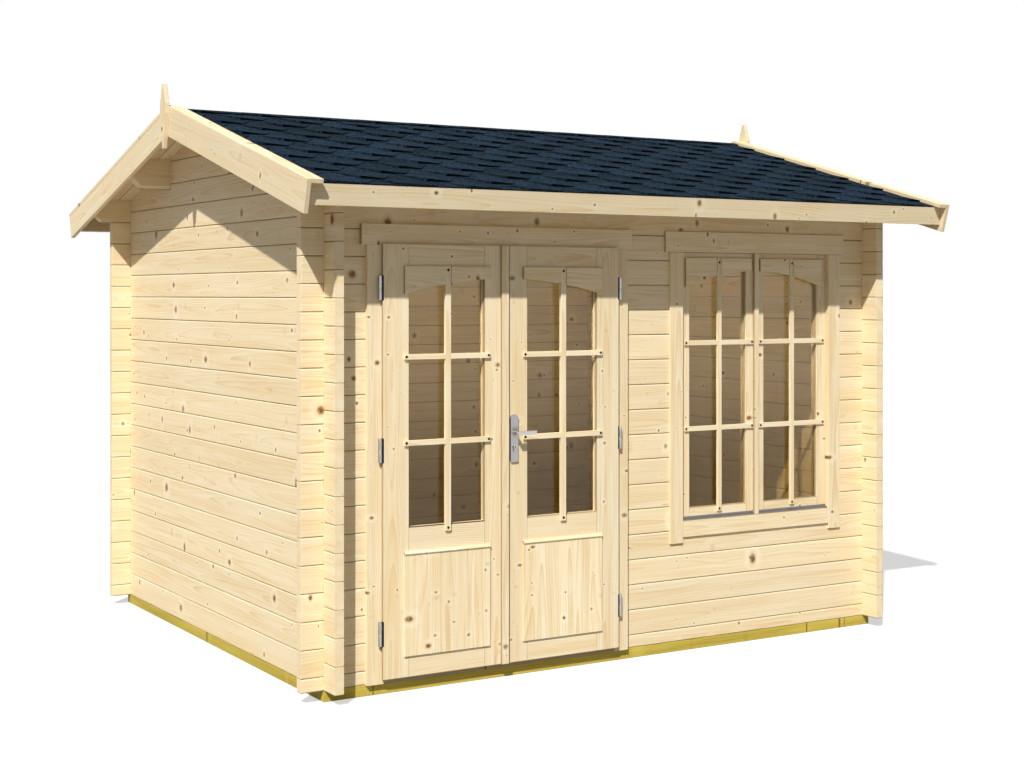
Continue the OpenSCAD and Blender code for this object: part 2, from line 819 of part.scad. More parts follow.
// Window
module window_frame() {
    color(spruce) {
        difference() {
            union() {
                frame_post(win_x0, 1, window_post_z, window_head_z);
                frame_post(win_x1, -1, window_post_z, window_head_z);
            }
            box([-reach, wall_y - seat_gap, 0], [reach, inner_y + seat_gap, win_open_z0 + seat_gap]);
        }
        frame_head(win_x0, win_x1, window_head_z, window_bar_h, window_cover_h);
        box([win_in0 + seat_gap, frame_front, window_sill_z - window_trim_h],
            [win_in1 - seat_gap, wall_y - seat_gap, window_sill_z]);
        box([win_in0 + seat_gap, wall_y - seat_gap - slit, win_open_z0 + seat_gap],
            [win_in1 - seat_gap, sash_front - seat_gap, window_sill_z]);
        box([win_in0 + seat_gap, wall_y - seat_gap, win_open_z0 + seat_gap],
            [win_in1 - seat_gap, inner_y + seat_gap, sash_z0 - seat_gap]);
        box([win_in0 + seat_gap, inner_y + seat_gap, sash_z0 - window_trim_h],
            [win_in1 - seat_gap, frame_back, sash_z0 - seat_gap]);
    }
}
module sash(x0) {
    glass_y = sash_front + sash_glass_back;
    light_x = x0 + sash_face;
    light_x1 = light_x + sash_light_w;
    difference() {
        box([x0, sash_front, sash_z0], [x0 + sash_w, sash_front + sash_t, window_head_z - seat_gap]);
        box([light_x, sash_front - over, sash_light_z0],
            [light_x1, sash_front + sash_glass_back - sash_bead_t, sash_light_z1]);
        box([light_x + bead_w, sash_front - over, sash_light_z0 + bead_w],
            [light_x1 - bead_w, sash_front + sash_t + over, sash_light_z1 - bead_w]);
        glass_room(light_x, sash_light_z0, light_x1, sash_light_z1, glass_y);
    }
}
module window_sashes() {
    color(spruce) {
        sash(sash_x0);
        sash(sash_x1);
    }
}
module window_boards() {
    y = sash_front - seat_gap;
    color(spruce) {
        for (x = [sash_x0, sash_x1]) {
            x0 = x + sash_face - sash_board_over;
            arched_board(x0, x0 + sash_light_w + 2 * sash_board_over, win_mid, sash_arch_top_z,
                         sash_arch_crown_z, sash_arch_r, y - sash_board_t, sash_board_t);
        }
        box([win_mid - mullion_w / 2, wall_y + seat_gap, window_sill_z + seat_gap],
            [win_mid + mullion_w / 2, y, window_head_z - seat_gap]);
    }
}
module window_glass() {
    for (x = [sash_x0, sash_x1])
        pane(x + sash_face, sash_light_z0, x + sash_face + sash_light_w, sash_light_z1,
             sash_front + sash_glass_back);
}
module window_sill() {
    back = sash_front - 2 * seat_gap;
    front = wall_y + seat_gap;
    low = window_sill_z + seat_gap;
    top = low + sill_h;
    color("SlateGray") for (x = [win_in0 + 2 * seat_gap, win_mid + mullion_w / 2 + seat_gap])
        translate([x, 0, 0]) rotate([90, 0, 90])
            linear_extrude((win_in1 - win_in0 - mullion_w) / 2 - 3 * seat_gap)
                polygon([[back, low], [back, top], [back - sill_t, top],
                         [back - sill_t, top - sill_up], [front, low + sill_lip], [front, low],
                         [front + sill_t, low], [front + sill_t, low + sill_lip - sill_t],
                         [back - sill_t, top - sill_up - sill_t], [back - sill_t, low]]);
}

front_base_beam();
rear_base_beam();
left_base_beam();
right_base_beam();
floor_joists();
floor_boards();
left_wall();
right_wall();
rear_wall();
front_wall_left_of_door();
front_wall_middle();
front_wall_right_of_window();
front_wall_below_window();
front_wall_top();
front_purlin();
rear_purlin();
front_roof_boards();
rear_roof_boards();
front_shingles();
rear_shingles();
front_fascia();
rear_fascia();
left_barge_boards();
right_barge_boards();
left_cap_boards();
right_cap_boards();
left_finial();
right_finial();
door_frame();
left_door_leaf();
left_door_boards();
left_door_glass();
left_door_hinges();
right_door_leaf();
right_door_boards();
right_door_glass();
right_door_hinges();
frame_hinges();
handle_plates();
lever_handle();
window_frame();
window_sashes();
window_boards();
window_glass();
window_sill();
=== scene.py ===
import functools
import math
import random

import bpy
from mathutils import Matrix, Vector


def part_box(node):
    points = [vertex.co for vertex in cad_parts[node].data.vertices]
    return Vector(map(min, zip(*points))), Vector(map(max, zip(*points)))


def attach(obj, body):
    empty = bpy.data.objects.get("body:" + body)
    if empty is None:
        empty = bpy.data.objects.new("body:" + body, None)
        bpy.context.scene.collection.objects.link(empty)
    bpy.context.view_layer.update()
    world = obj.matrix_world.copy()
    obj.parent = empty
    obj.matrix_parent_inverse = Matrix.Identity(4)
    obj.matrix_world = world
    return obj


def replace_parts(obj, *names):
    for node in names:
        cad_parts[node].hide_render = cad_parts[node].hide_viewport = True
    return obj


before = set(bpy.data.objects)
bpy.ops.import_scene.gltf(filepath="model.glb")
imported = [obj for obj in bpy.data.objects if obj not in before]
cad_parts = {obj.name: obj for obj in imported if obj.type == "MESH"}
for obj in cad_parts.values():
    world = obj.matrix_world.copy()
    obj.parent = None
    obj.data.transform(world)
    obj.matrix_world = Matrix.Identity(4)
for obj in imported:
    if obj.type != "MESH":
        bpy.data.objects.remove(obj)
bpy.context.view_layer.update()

print("frame loaded:", len(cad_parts), "nodes")

random.seed(11)
mm = 0.001

studio = {
    "eye": (-4.2498, -7.2131, 1.6571),
    "turn": -31.443,             # degrees, to the right of straight ahead
    "lens": 56.46,
    "shiftY": -0.0875,
    "keyTurn": (44.1, 0, -44.9),  # degrees, high from the front left
    "keyPlace": (-8, -10, 12),   # makes no difference to a sun
    "keyStrength": 4.6,
    "keyAngle": 1.0,             # degrees across, for a narrow soft edge on the shadows
    "ambient": 0.27,
    "lampHigh": 1.75,            # a soft lamp under the ridge, so that the room shows through the panes
    "lampSize": (2.2, 1.6),
    "lampGlow": 10.2,            # watts
    "lampColour": (0.76, 0.93, 1.0),  # cool, against the warm wood
    "floorSize": 60,
    "floorDrop": 0.5 * mm,       # below the beams, so that the two don't flicker
    "floorShown": "#FFFFFF",
    "floorBounce": "#8E8E8E",    # what it throws back on the object
    "floorGlow": 0.55,           # share of plain white seen on the floor, so that its shadow stays light
}


# one node with its settings; a number, a colour, a socket or a node goes into each input
def addNode(tree, kind, inputs=None, **settings):
    node = tree.nodes.new("ShaderNode" + kind)
    for name, value in settings.items():
        setattr(node, name, value)
    for socket, value in (inputs or {}).items():
        if isinstance(value, bpy.types.Node):
            value = next(output for output in value.outputs if output.enabled)
        if isinstance(value, bpy.types.NodeSocket):
            tree.links.new(value, node.inputs[socket])
        else:
            node.inputs[socket].default_value = value
    return node


def colour(hexText):
    parts = [int(hexText[i:i + 2], 16) / 255 for i in (1, 3, 5)]
    return tuple(c / 12.92 if c <= 0.04045 else ((c + 0.055) / 1.055) ** 2.4 for c in parts) + (1,)


def newMaterial(name):
    material = bpy.data.materials.new(name)
    material.use_nodes = True
    material.node_tree.nodes.clear()
    return material, functools.partial(addNode, material.node_tree)


# rays that see the plain white background: straight, mirrored or through glass
def seenRays(add):
    path = add("LightPath").outputs
    seen = add("Math", {0: path["Is Camera Ray"], 1: path["Is Glossy Ray"]}, operation="MAXIMUM")
    return add("Math", {0: seen, 1: path["Is Transmission Ray"]}, operation="MAXIMUM")


def mattFloorPaint(s):
    # matt white emulsion on a smooth floor: even, without gloss
    material, add = newMaterial("mattWhiteFloorPaint")
    seen = seenRays(add)
    tone = add("Mix", {0: seen, 6: colour(s["floorBounce"]), 7: colour(s["floorShown"])},
               data_type="RGBA")
    paint = add("BsdfDiffuse", {"Color": tone})
    white = add("Emission", {"Color": (1, 1, 1, 1)})
    share = add("Math", {0: seen, 1: s["floorGlow"]}, operation="MULTIPLY")
    both = add("MixShader", {0: share, 1: paint, 2: white})
    add("OutputMaterial", {"Surface": both})
    return material


def makeStudio(s):
    bpy.ops.object.camera_add(location=s["eye"], rotation=(math.radians(90), 0, math.radians(s["turn"])))
    camera = bpy.context.object
    camera.data.lens = s["lens"]
    camera.data.shift_y = s["shiftY"]
    camera.data.clip_end = 200
    bpy.context.scene.camera = camera
    bpy.ops.object.light_add(type="SUN", location=s["keyPlace"],
                             rotation=[math.radians(a) for a in s["keyTurn"]])
    key = bpy.context.object.data
    key.energy = s["keyStrength"]
    key.angle = math.radians(s["keyAngle"])
    bpy.ops.object.light_add(type="AREA", location=(0, 0, s["lampHigh"]), rotation=(math.pi, 0, 0))
    lamp = bpy.context.object.data
    lamp.shape = "RECTANGLE"
    lamp.size, lamp.size_y = s["lampSize"]
    lamp.energy = s["lampGlow"]
    lamp.color = s["lampColour"]
    world = bpy.data.worlds.new("studioWorld")
    bpy.context.scene.world = world
    world.use_nodes = True
    world.node_tree.nodes.clear()
    add = functools.partial(addNode, world.node_tree)
    soft = add("Background", {"Color": (1, 1, 1, 1), "Strength": s["ambient"]})
    white = add("Background", {"Color": (1, 1, 1, 1)})
    both = add("MixShader", {0: seenRays(add), 1: soft, 2: white})
    add("OutputWorld", {"Surface": both})
    bpy.ops.mesh.primitive_plane_add(size=s["floorSize"], location=(0, 0, -s["floorDrop"]))
    floor = bpy.context.object
    floor.name = "studioFloor"
    floor.data.materials.append(mattFloorPaint(s))
    bpy.context.scene.view_settings.view_transform = "Standard"


makeStudio(studio)
print("studio ready")


# Small modelling steps that the pieces share

def only(*pieces):
    bpy.ops.object.select_all(action="DESELECT")
    for piece in pieces:
        piece.select_set(True)
    bpy.context.view_layer.objects.active = pieces[0]


def block(name, low, high):
    low, high = Vector(low), Vector(high)
    bpy.ops.mesh.primitive_cube_add(size=1, location=(low + high) / 2)
    piece = bpy.context.object
    piece.name = name
    piece.scale = high - low
    bpy.ops.object.transform_apply()
    return piece


def editAll(piece, action="SELECT"):
    only(piece)
    bpy.ops.object.mode_set(mode="EDIT")
    bpy.ops.mesh.select_all(action=action)


def closeEdit():
    bpy.ops.object.mode_set(mode="OBJECT")


# opens a piece for editing, with only the faces or the points that are wanted selected
def pick(piece, kind, wanted):
    editAll(piece, "DESELECT")
    bpy.ops.mesh.select_mode(type=kind)
    closeEdit()
    for item in piece.data.polygons if kind == "FACE" else piece.data.vertices:
        item.select = wanted(item)
    bpy.ops.object.mode_set(mode="EDIT")


def movePoints(piece, wanted, by):
    pick(piece, "VERT", lambda point: wanted(point.co))
    bpy.ops.transform.translate(value=by)
    closeEdit()


# a flat cut; drop is "above" or "below" the plane, or None to keep both sides
def cut(piece, at, normal, drop=None):
    editAll(piece)
    bpy.ops.mesh.bisect(plane_co=at, plane_no=normal, use_fill=drop is not None,
                        clear_outer=drop == "above", clear_inner=drop == "below")
    closeEdit()


def copyOf(source, name, move=(0, 0, 0)):
    only(source)
    bpy.ops.object.duplicate()
    piece = bpy.context.object
    piece.name = name
    piece.data.name = name
    piece.parent = None
    for key in list(piece.keys()):
        del piece[key]
    piece.data.transform(Matrix.Translation(move))
    return piece


def along(axis, length):
    by = Vector((0, 0, 0))
    by[axis] = length
    return by


def reach(piece, axis):
    places = [v.co[axis] for v in piece.data.vertices]
    return min(places), max(places)


# cuts the pieces that reach past the plane on both sides in two
def splitAt(pieces, axis, at):
    done = []
    for piece in pieces:
        low, high = reach(piece, axis)
        done.append(piece)
        if low + 0.5 * mm < at < high - 0.5 * mm:
            twin = copyOf(piece, piece.name)
            cut(piece, along(axis, at), along(axis, 1), drop="above")
            cut(twin, along(axis, at), along(axis, 1), drop="below")
            done.append(twin)
    return done


def apply(piece, kind, **settings):
    only(piece)
    modifier = piece.modifiers.new(kind.lower(), kind)
    for name, value in settings.items():
        setattr(modifier, name, value)
    bpy.ops.object.modifier_apply(modifier=modifier.name)


def soften(piece, width, segments=1, clamp=True):
    apply(piece, "BEVEL", width=width, segments=segments, limit_method="ANGLE",
          angle_limit=math.radians(30), use_clamp_overlap=clamp)


def shineSmoothly(piece):
    only(piece)
    bpy.ops.object.shade_smooth_by_angle(angle=math.radians(35))


def looseParts(piece):
    editAll(piece)
    bpy.ops.mesh.separate(type="LOOSE")
    closeEdit()
    return list(bpy.context.selected_objects)


def joined(name, parts):
    only(*parts)
    if len(parts) > 1:
        bpy.ops.object.join()
    piece = bpy.context.object
    piece.name = name
    piece.data.name = name
    return piece


def cleanCopy(node, name):
    piece = copyOf(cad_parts[node], name)
    piece.data.materials.clear()
    editAll(piece)
    bpy.ops.mesh.remove_doubles(threshold=0.01 * mm)
    bpy.ops.mesh.dissolve_limited(angle_limit=math.radians(0.2))
    closeEdit()
    return piece


def settle(piece, body, slotName, *materials):
    only(piece)
    bpy.ops.object.transform_apply()
    if not piece.data.materials:
        for material in materials:
            piece.data.materials.append(material)
    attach(piece, body)
    return piece


# Planed spruce: pale cream early wood, thin straw late wood, round brown knots with a light flash
# about them, hardly any gloss. The grain runs with each board by two attributes of its mesh.

logLook = {
    "early": "#F7EACD",
    "late": "#EBD3A6",
    "deep": "#D9B47C",
    "flash": "#FFF6E0",
    "halo": "#D8B074",
    "knotRim": "#9F7A47",
    "knotCore": "#5E4224",
    "ringWidth": 7.0 * mm,    # real rings are 2 to 4 mm; drawn wider so that they show
    "ringShow": 0.33,
    "streakShow": 0.46,
    "bandShow": 0.66,
    "warm": "#E9C98C",        # broad straw yellow bands
    "warmShow": 0.35,
    # length of a cell along the board, radius of its knot, share of the cells that have one
    "knots": ((0.71, 12.5 * mm, 0.42), (0.37, 6.5 * mm, 0.34), (0.23, 3.4 * mm, 0.26)),
    "knotSpread": 90 * mm,
    "haloShow": 0.55,
    "flashShow": 0.8,
    "tone": (0.95, 1.035),    # darkest and lightest board
    "roughness": 0.62,
    "seamDarkAndShadeWide": 2.9 * mm,    # painted shade: a dark line along the lower edge of each log, in the joint under the log above
    "seamDarkAndShadeBoth": 0.0,         # 1 for a line along both edges
    "seamDarkAndShadeDeep": 0.9,         # how far behind the face the dark lines and the painted shade reach, in metres
    "seamDarkAndShadeShow": 0.78,
    "joint": "#66552F",
    "endGrainAndShadeShow": 0.0,           # how much darker the sawn ends are: darker end grain, and painted shade where ends stand in corners
}
# Door, window and their frames: finer grain, thin dark lines where stiles and rails meet, painted shade
# on the faces in the reveals by the panes, and darker sawn ends
joineryLook = dict(logLook, early="#F8ECD0", late="#ECD6AB", deep="#DDBB88", ringShow=0.42,
                   streakShow=0.72, bandShow=0.92, warmShow=0.5,
                   knots=((0.61, 7.5 * mm, 0.46), (0.29, 4.4 * mm, 0.42), (0.16, 2.6 * mm, 0.28)),
                   knotSpread=76 * mm, tone=(0.945, 1.03), seamDarkAndShadeWide=1.2 * mm, seamDarkAndShadeBoth=1.0,
                   seamDarkAndShadeDeep=13.4 * mm, seamDarkAndShadeShow=0.62, joint="#6E5328", endGrainAndShadeShow=0.60)
# Glued panels: narrow pale staves with many knots
panelLook = dict(joineryLook, early="#FBF0D2",
                 knots=((0.43, 8.5 * mm, 0.5), (0.24, 5.5 * mm, 0.45), (0.15, 3.0 * mm, 0.35)),
                 knotSpread=56 * mm, tone=(0.99, 1.06))
# Barge and cap boards, finials and fascia: a little darker than the logs, without joints
trimLook = dict(logLook, seamDarkAndShadeShow=0.0, tone=(0.87, 0.94))
fasciaLook = dict(trimLook, knots=((0.47, 9 * mm, 0.55), (0.29, 5.5 * mm, 0.5), (0.17, 3.0 * mm, 0.35)),
                  warmShow=0.15, tone=(0.79, 0.85))
# Glazing bars: clear wood, hardly a knot
barLook = dict(joineryLook, knots=((0.6, 3.5 * mm, 0.3),), knotSpread=20 * mm, seamDarkAndShadeShow=0.0, endGrainAndShadeShow=0.0,
               warmShow=0.2, bandShow=0.4)
# Pine pressed full of green salts: olive yellow, dull, knots darker
treatedLook = dict(logLook, early="#DBC65A", late="#B59D3C", deep="#86722A", flash="#DCCA66",
                   halo="#8F7C33", knotRim="#6E5A24", knotCore="#4A3A17", tone=(0.93, 1.04),
                   roughness=0.75, seamDarkAndShadeShow=0.0, streakShow=0.7, warmShow=0.0)


def planedWood(name, look):
    material, add = newMaterial(name)
    lot = add("Attribute", attribute_name="boardLot").outputs["Fac"]
    place = add("Attribute", attribute_name="grainPlace").outputs["Vector"]
    half = add("Attribute", attribute_name="boardHalf").outputs["Vector"]
    halfAlong, halfAcross, halfThrough = add("SeparateXYZ", {0: half}).outputs
    fromMiddle, fromLine, fromCore = add("SeparateXYZ", {0: place}).outputs
    chance = add("TexWhiteNoise", {"W": lot}, noise_dimensions="1D").outputs["Color"]
    luck = add("SeparateColor", {0: chance}).outputs[0]
    shift = add("VectorMath", {0: chance, 1: (60, 0, 0)}, operation="MULTIPLY")
    place = add("VectorMath", {0: place, 1: shift})  # each board comes from another stretch of its tree
    onward, across = add("SeparateXYZ", {0: place}).outputs[:2]
    ragged = add("TexNoise", {"Vector": place, "Scale": 120.0, "Detail": 2.0})

    # knots: at most one in each cell along the board
    masks = {}
    for cell, size, share in look["knots"]:
        turns = add("Math", {0: onward, 1: cell}, operation="DIVIDE")
        number = add("Math", {0: turns}, operation="FLOOR")
        seat = add("CombineXYZ", {0: number, 1: lot, 2: cell})
        dice = add("TexWhiteNoise", {"Vector": seat}).outputs
        red, green, blue = add("SeparateColor", {0: dice["Color"]}).outputs
        inCell = add("Math", {0: turns}, operation="FRACT")
        middle = add("Math", {0: red, 1: 0.56, 2: 0.22}, operation="MULTIPLY_ADD")
        du = add("Math", {0: inCell, 1: middle}, operation="SUBTRACT")
        du = add("Math", {0: du, 1: cell}, operation="MULTIPLY")
        dv = add("Math", {0: green, 1: -look["knotSpread"], 2: look["knotSpread"] / 2},
                 operation="MULTIPLY_ADD")
        dv = add("Math", {0: across, 1: dv})
        squeeze = add("Math", {0: dice["Value"], 1: 0.75 / share, 2: 0.5}, operation="MULTIPLY_ADD")
        dv = add("Math", {0: dv, 1: squeeze}, operation="MULTIPLY")  # some stand tall, some are round
        away = add("CombineXYZ", {0: du, 1: dv, 2: 0.0})
        away = add("VectorMath", {0: away}, operation="LENGTH")
        away = add("Math", {0: ragged, 1: size * 0.5, 2: away}, operation="MULTIPLY_ADD")
        away = add("Math", {0: away, 1: size * 0.25}, operation="SUBTRACT")
        there = add("Math", {0: dice["Value"], 1: share}, operation="LESS_THAN")
        radius = add("Math", {0: blue, 1: size * 0.9, 2: size * 0.55}, operation="MULTIPLY_ADD")
        radius = add("Math", {0: radius, 1: there}, operation="MULTIPLY")
        radius = add("Math", {0: radius, 1: 0.01 * mm})
        ratio = add("Math", {0: away, 1: radius}, operation="DIVIDE")
        # where each mask fades out, in radii of the knot
        for mask, near, far in (("core", 0.25, 0.85), ("rim", 0.75, 1.15), ("halo", 0.9, 2.2),
                                ("flash", 1.3, 4.2)):
            value = add("MapRange", {"Value": ratio, 1: near, 2: far, 3: 1.0, 4: 0.0},
                        interpolation_type="SMOOTHSTEP")
            if mask in masks:
                value = add("Math", {0: masks[mask], 1: value}, operation="MAXIMUM")
            masks[mask] = value

    # noises drawn out along the grain: turns a metre along and across it, detail, roughness
    noises = []
    for onGrain, overGrain, detail, rough in ((0.9, 5, 2, 0.4), (4, 240, 3, 0.5), (1.3, 26, 2, 0.5),
                                              (3.2, 9, 2, 0.5), (0.9, 17, 3, 0.6)):
        drawn = add("VectorMath", {0: place, 1: (onGrain, overGrain, overGrain)}, operation="MULTIPLY")
        noise = {"Vector": drawn, "Scale": 1.0, "Detail": detail, "Roughness": rough}
        noises.append(add("TexNoise", noise))
    bend, streaks, bands, clouds, warm = noises

    # growth rings about a pith beside the board, which wanders along it
    bend = add("VectorMath", {0: bend.outputs["Color"], 1: (0, 0.11, 0.06)}, operation="MULTIPLY")
    pith = add("VectorMath", {0: chance, 1: (0, 0.05, 0.04), 2: (0, -0.075, 0.025)},
               operation="MULTIPLY_ADD")
    flat = add("VectorMath", {0: place, 1: (0, 1, 1), 2: bend}, operation="MULTIPLY_ADD")
    flat = add("VectorMath", {0: flat, 1: pith})
    radius = add("VectorMath", {0: flat}, operation="LENGTH")
    radius = add("Math", {0: onward, 1: 0.008, 2: radius}, operation="MULTIPLY_ADD")
    radius = add("Math", {0: masks["halo"], 1: 10 * mm, 2: radius}, operation="MULTIPLY_ADD")
    rings = add("Math", {0: radius, 1: look["ringWidth"]}, operation="DIVIDE")
    rings = add("Math", {0: rings}, operation="FRACT")
    rings = add("Math", {0: rings, 1: 2.2}, operation="POWER")

    tone = add("Math", {0: rings, 1: clouds}, operation="MULTIPLY")
    level = 0.34 - (look["streakShow"] + look["bandShow"]) / 2  # keeps the middle tone whatever shows
    tone = add("Math", {0: tone, 1: look["ringShow"] * 2, 2: level}, operation="MULTIPLY_ADD")
    tone = add("Math", {0: streaks, 1: look["streakShow"], 2: tone}, operation="MULTIPLY_ADD")
    tone = add("Math", {0: bands, 1: look["bandShow"], 2: tone}, operation="MULTIPLY_ADD", use_clamp=True)
    darker = add("MapRange", {"Value": tone, 1: 0.55, 2: 1.0})
    lighter = add("MapRange", {"Value": tone, 1: 0.05, 2: 0.6})
    wood = add("Mix", {0: lighter, 6: colour(look["early"]), 7: colour(look["late"])}, data_type="RGBA")
    warm = add("MapRange", {"Value": warm, 1: 0.48, 2: 0.7, 4: look["warmShow"]})
    glow = add("Math", {0: masks["flash"], 1: clouds}, operation="MULTIPLY")
    glow = add("Math", {0: glow, 1: look["flashShow"]}, operation="MULTIPLY")
    ring = add("Math", {0: masks["halo"], 1: look["haloShow"]}, operation="MULTIPLY")
    for share, over in ((darker, "deep"), (warm, "warm"), (glow, "flash"), (ring, "halo")):
        wood = add("Mix", {0: share, 6: wood, 7: colour(look[over])}, data_type="RGBA")
    knot = add("Mix", {0: masks["core"], 6: colour(look["knotRim"]), 7: colour(look["knotCore"])},
               data_type="RGBA")
    wood = add("Mix", {0: masks["rim"], 6: wood, 7: knot}, data_type="RGBA")

    # dark lines at the joints and darker sawn ends, partly painted shade: along the lower edge of each
    # log, on the faces in the reveals by the panes, and on sawn ends that stand in corners
    above = add("Math", {0: fromLine, 1: look["seamDarkAndShadeBoth"]}, operation="MULTIPLY")
    below = add("Math", {0: fromLine, 1: -1.0}, operation="MULTIPLY")
    edge = add("Math", {0: above, 1: below}, operation="MAXIMUM")
    edge = add("Math", {0: halfAcross, 1: edge}, operation="SUBTRACT")
    line = add("MapRange", {"Value": edge, 1: look["seamDarkAndShadeWide"] * 0.7, 2: look["seamDarkAndShadeWide"],
                            3: 1.0, 4: 0.0})
    depth = add("Math", {0: fromCore, 1: halfThrough})
    shallow = add("Math", {0: depth, 1: look["seamDarkAndShadeDeep"]}, operation="LESS_THAN")
    line = add("Math", {0: line, 1: shallow}, operation="MULTIPLY")
    line = add("Math", {0: line, 1: look["seamDarkAndShadeShow"]}, operation="MULTIPLY")
    end = add("Math", {0: fromMiddle}, operation="ABSOLUTE")
    end = add("Math", {0: halfAlong, 1: end}, operation="SUBTRACT")
    end = add("MapRange", {"Value": end, 1: 0.5 * mm, 2: 1.0 * mm, 3: look["endGrainAndShadeShow"], 4: 0.0})
    line = add("Math", {0: line, 1: end}, operation="MAXIMUM")
    wood = add("Mix", {0: line, 6: wood, 7: colour(look["joint"])}, data_type="RGBA")
    darkest, lightest = look["tone"]
    shade = add("MapRange", {"Value": luck, 3: darkest, 4: lightest})
    wood = add("HueSaturation", {"Value": shade, "Color": wood})
    height = add("Math", {0: masks["rim"], 1: -0.5, 2: streaks}, operation="MULTIPLY_ADD")
    bump = add("Bump", {"Height": height, "Strength": 0.25, "Distance": 0.6 * mm})
    dull = add("Math", {0: streaks, 1: 0.16, 2: look["roughness"] - 0.08}, operation="MULTIPLY_ADD")
    shader = add("BsdfPrincipled", {"Base Color": wood, "Roughness": dull,
                                    "Specular IOR Level": 0.3, "Normal": bump})
    add("OutputMaterial", {"Surface": shader})
    return material


planedSpruceLog = planedWood("planedSpruceLog", logLook)
planedSpruceJoinery = planedWood("planedSpruceJoinery", joineryLook)
planedSpruceBar = planedWood("planedSpruceBar", barLook)
planedSprucePanel = planedWood("planedSprucePanel", panelLook)
planedSpruceTrim = planedWood("planedSpruceTrim", trimLook)
planedSpruceFascia = planedWood("planedSpruceFascia", fasciaLook)
pressureTreatedPine = planedWood("pressureTreatedPine", treatedLook)

# The roof, and the floor that has the same planks
roof = {
    "pitch": math.radians(15.5),
    "boardThick": 18 * mm,
    "plankWidth": 96 * mm,
    "plankEdge": 2.2 * mm,      # V joint seen from below
    "floorEdge": 1.5 * mm,
    "halfGap": 0.15 * mm,       # half of what is left free between the slopes at the ridge
}

noEdge = 9  # metres to a board's edge, too far for its line to show


# tells the wood which way a board runs: its longest side is along the grain, its shortest through it;
# joints is "edges" for dark lines at its edges, "none", "face" for painted shade all over a face that
# lies in a groove, or "whole" for painted shade all through a piece, such as a bead behind a pane
def markGrain(board, pitched=False, joints="edges"):
    mesh = board.data
    turn = Matrix.Identity(3)
    if pitched:
        middle = sum(v.co.y for v in mesh.vertices)
        turn = Matrix.Rotation(math.copysign(roof["pitch"], middle), 3, "X")
    points = [turn @ v.co for v in mesh.vertices]
    low = [min(p[i] for p in points) for i in range(3)]
    high = [max(p[i] for p in points) for i in range(3)]
    order = sorted(range(3), key=lambda i: low[i] - high[i])
    square = high[order[2]] - low[order[2]] > 0.85 * (high[order[1]] - low[order[1]])
    if square and order[1] == 1:
        order = [order[0], order[2], 1]  # its knots show round on the front
    size = [(high[axis] - low[axis]) / 2 for axis in order]
    if joints == "none" or square:
        size[1] = noEdge  # a square post has no joint lines either
    elif joints in ("face", "whole"):
        size[1] = 0
    if joints == "whole":
        size[2] = 0
    mesh.attributes.new("grainPlace", "FLOAT_VECTOR", "POINT")
    mesh.attributes.new("boardHalf", "FLOAT_VECTOR", "POINT")
    mesh.attributes.new("boardLot", "FLOAT", "POINT")
    place, half, lot = [mesh.attributes[name] for name in ("grainPlace", "boardHalf", "boardLot")]
    number = random.uniform(0, 100)
    for i, p in enumerate(points):
        place.data[i].vector = [p[axis] - (low[axis] + high[axis]) / 2 for axis in order]
        half.data[i].vector = size
        lot.data[i].value = number


def woodOf(name, parts, body, slotName, material, pitched=False):
    boards = [board for part in parts for board in looseParts(part)]
    for board in boards:
        if "boardLot" not in board.data.attributes:
            markGrain(board, pitched)
    return settle(joined(name, boards), body, slotName, material)


# Nodes whose boards are right as they are; their sawn edges are softened
plainWood = (
    (("front_base_beam", "rear_base_beam", "left_base_beam", "right_base_beam", "floor_joists"),
     "treated_wood", pressureTreatedPine, False),
    (("left_wall", "right_wall", "rear_wall", "front_wall_left_of_door", "front_wall_middle",
      "front_wall_right_of_window", "front_wall_below_window", "front_wall_top", "front_purlin",
      "rear_purlin"), "spruce", planedSpruceLog, False),
    (("front_fascia", "rear_fascia"), "trim_spruce", planedSpruceFascia, True),
    (("left_barge_boards", "right_barge_boards", "left_cap_boards", "right_cap_boards"),
     "trim_spruce", planedSpruceTrim, True),
    (("left_finial", "right_finial"), "trim_spruce", planedSpruceTrim, False),
    (("door_frame", "window_frame", "window_boards"), "joinery_spruce", planedSpruceJoinery, False),
)


def pieceName(node, ending):
    first, *others = node.split("_")
    return first + "".join(word.title() for word in others) + ending


trims = {
    "edge": 1.2 * mm,
    "fasciaLean": 17.5 * mm,     # the lower edge stands out by this, so that its face is nearly plumb
    "windowTrimFront": -1.2595,  # front of the window's face trim
}

for nodes, slotName, material, pitched in plainWood:
    for node in nodes:
        name = pieceName(node, "Wood")
        piece = cleanCopy(node, name)
        low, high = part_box(node)
        if "fascia" in node:
            outward = math.copysign(trims["fasciaLean"], low.y)
            movePoints(piece, lambda p: p.z < (low.z + high.z) / 2, (0, outward, 0))
        if node == "window_frame":
            movePoints(piece, lambda p: p.y < low.y + 1 * mm, (0, trims["windowTrimFront"] - low.y, 0))
        soften(piece, trims["edge"])
        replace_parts(woodOf(name, [piece], "cabin", slotName, material, pitched), node)
print("logs, trim and frames ready")

# Leaves and sashes are made up of upright stiles with rails between them
joinery = {
    "edge": 0.7 * mm,
    "paneOver": 1.7 * mm,       # the panes reach this far past the edges of their lights
    "hairline": 0.2 * mm,
    "halfGap": 0.15 * mm,       # half of what is left free between two sashes or two bars
    "lowRailTop": 0.364,        # of the rail under a leaf's panel
    "panelHigh": (0.3, 0.6),    # a leaf's panel is the board of this height
    "staves": (0.20, 0.41, 0.66, 0.83),  # glue lines of a panel, as shares of its width
    "beadReach": 8 * mm,
    "beadShown": 2.8 * mm,      # the beads are planed back to this
    "beadBehind": 0.3 * mm,     # and those behind the panes to this
}


def planeBead(part, low, high):
    behind = reach(part, 1)[0] > (low.y + high.y) / 2
    back = joinery["beadReach"] - joinery["beadBehind" if behind else "beadShown"]
    for axis in (0, 2):
        for at, sign in ((low[axis] + joinery["beadReach"], -1), (high[axis] - joinery["beadReach"], 1)):
            movePoints(part, lambda p: abs(p[axis] - at) < 0.5 * mm, along(axis, sign * back))


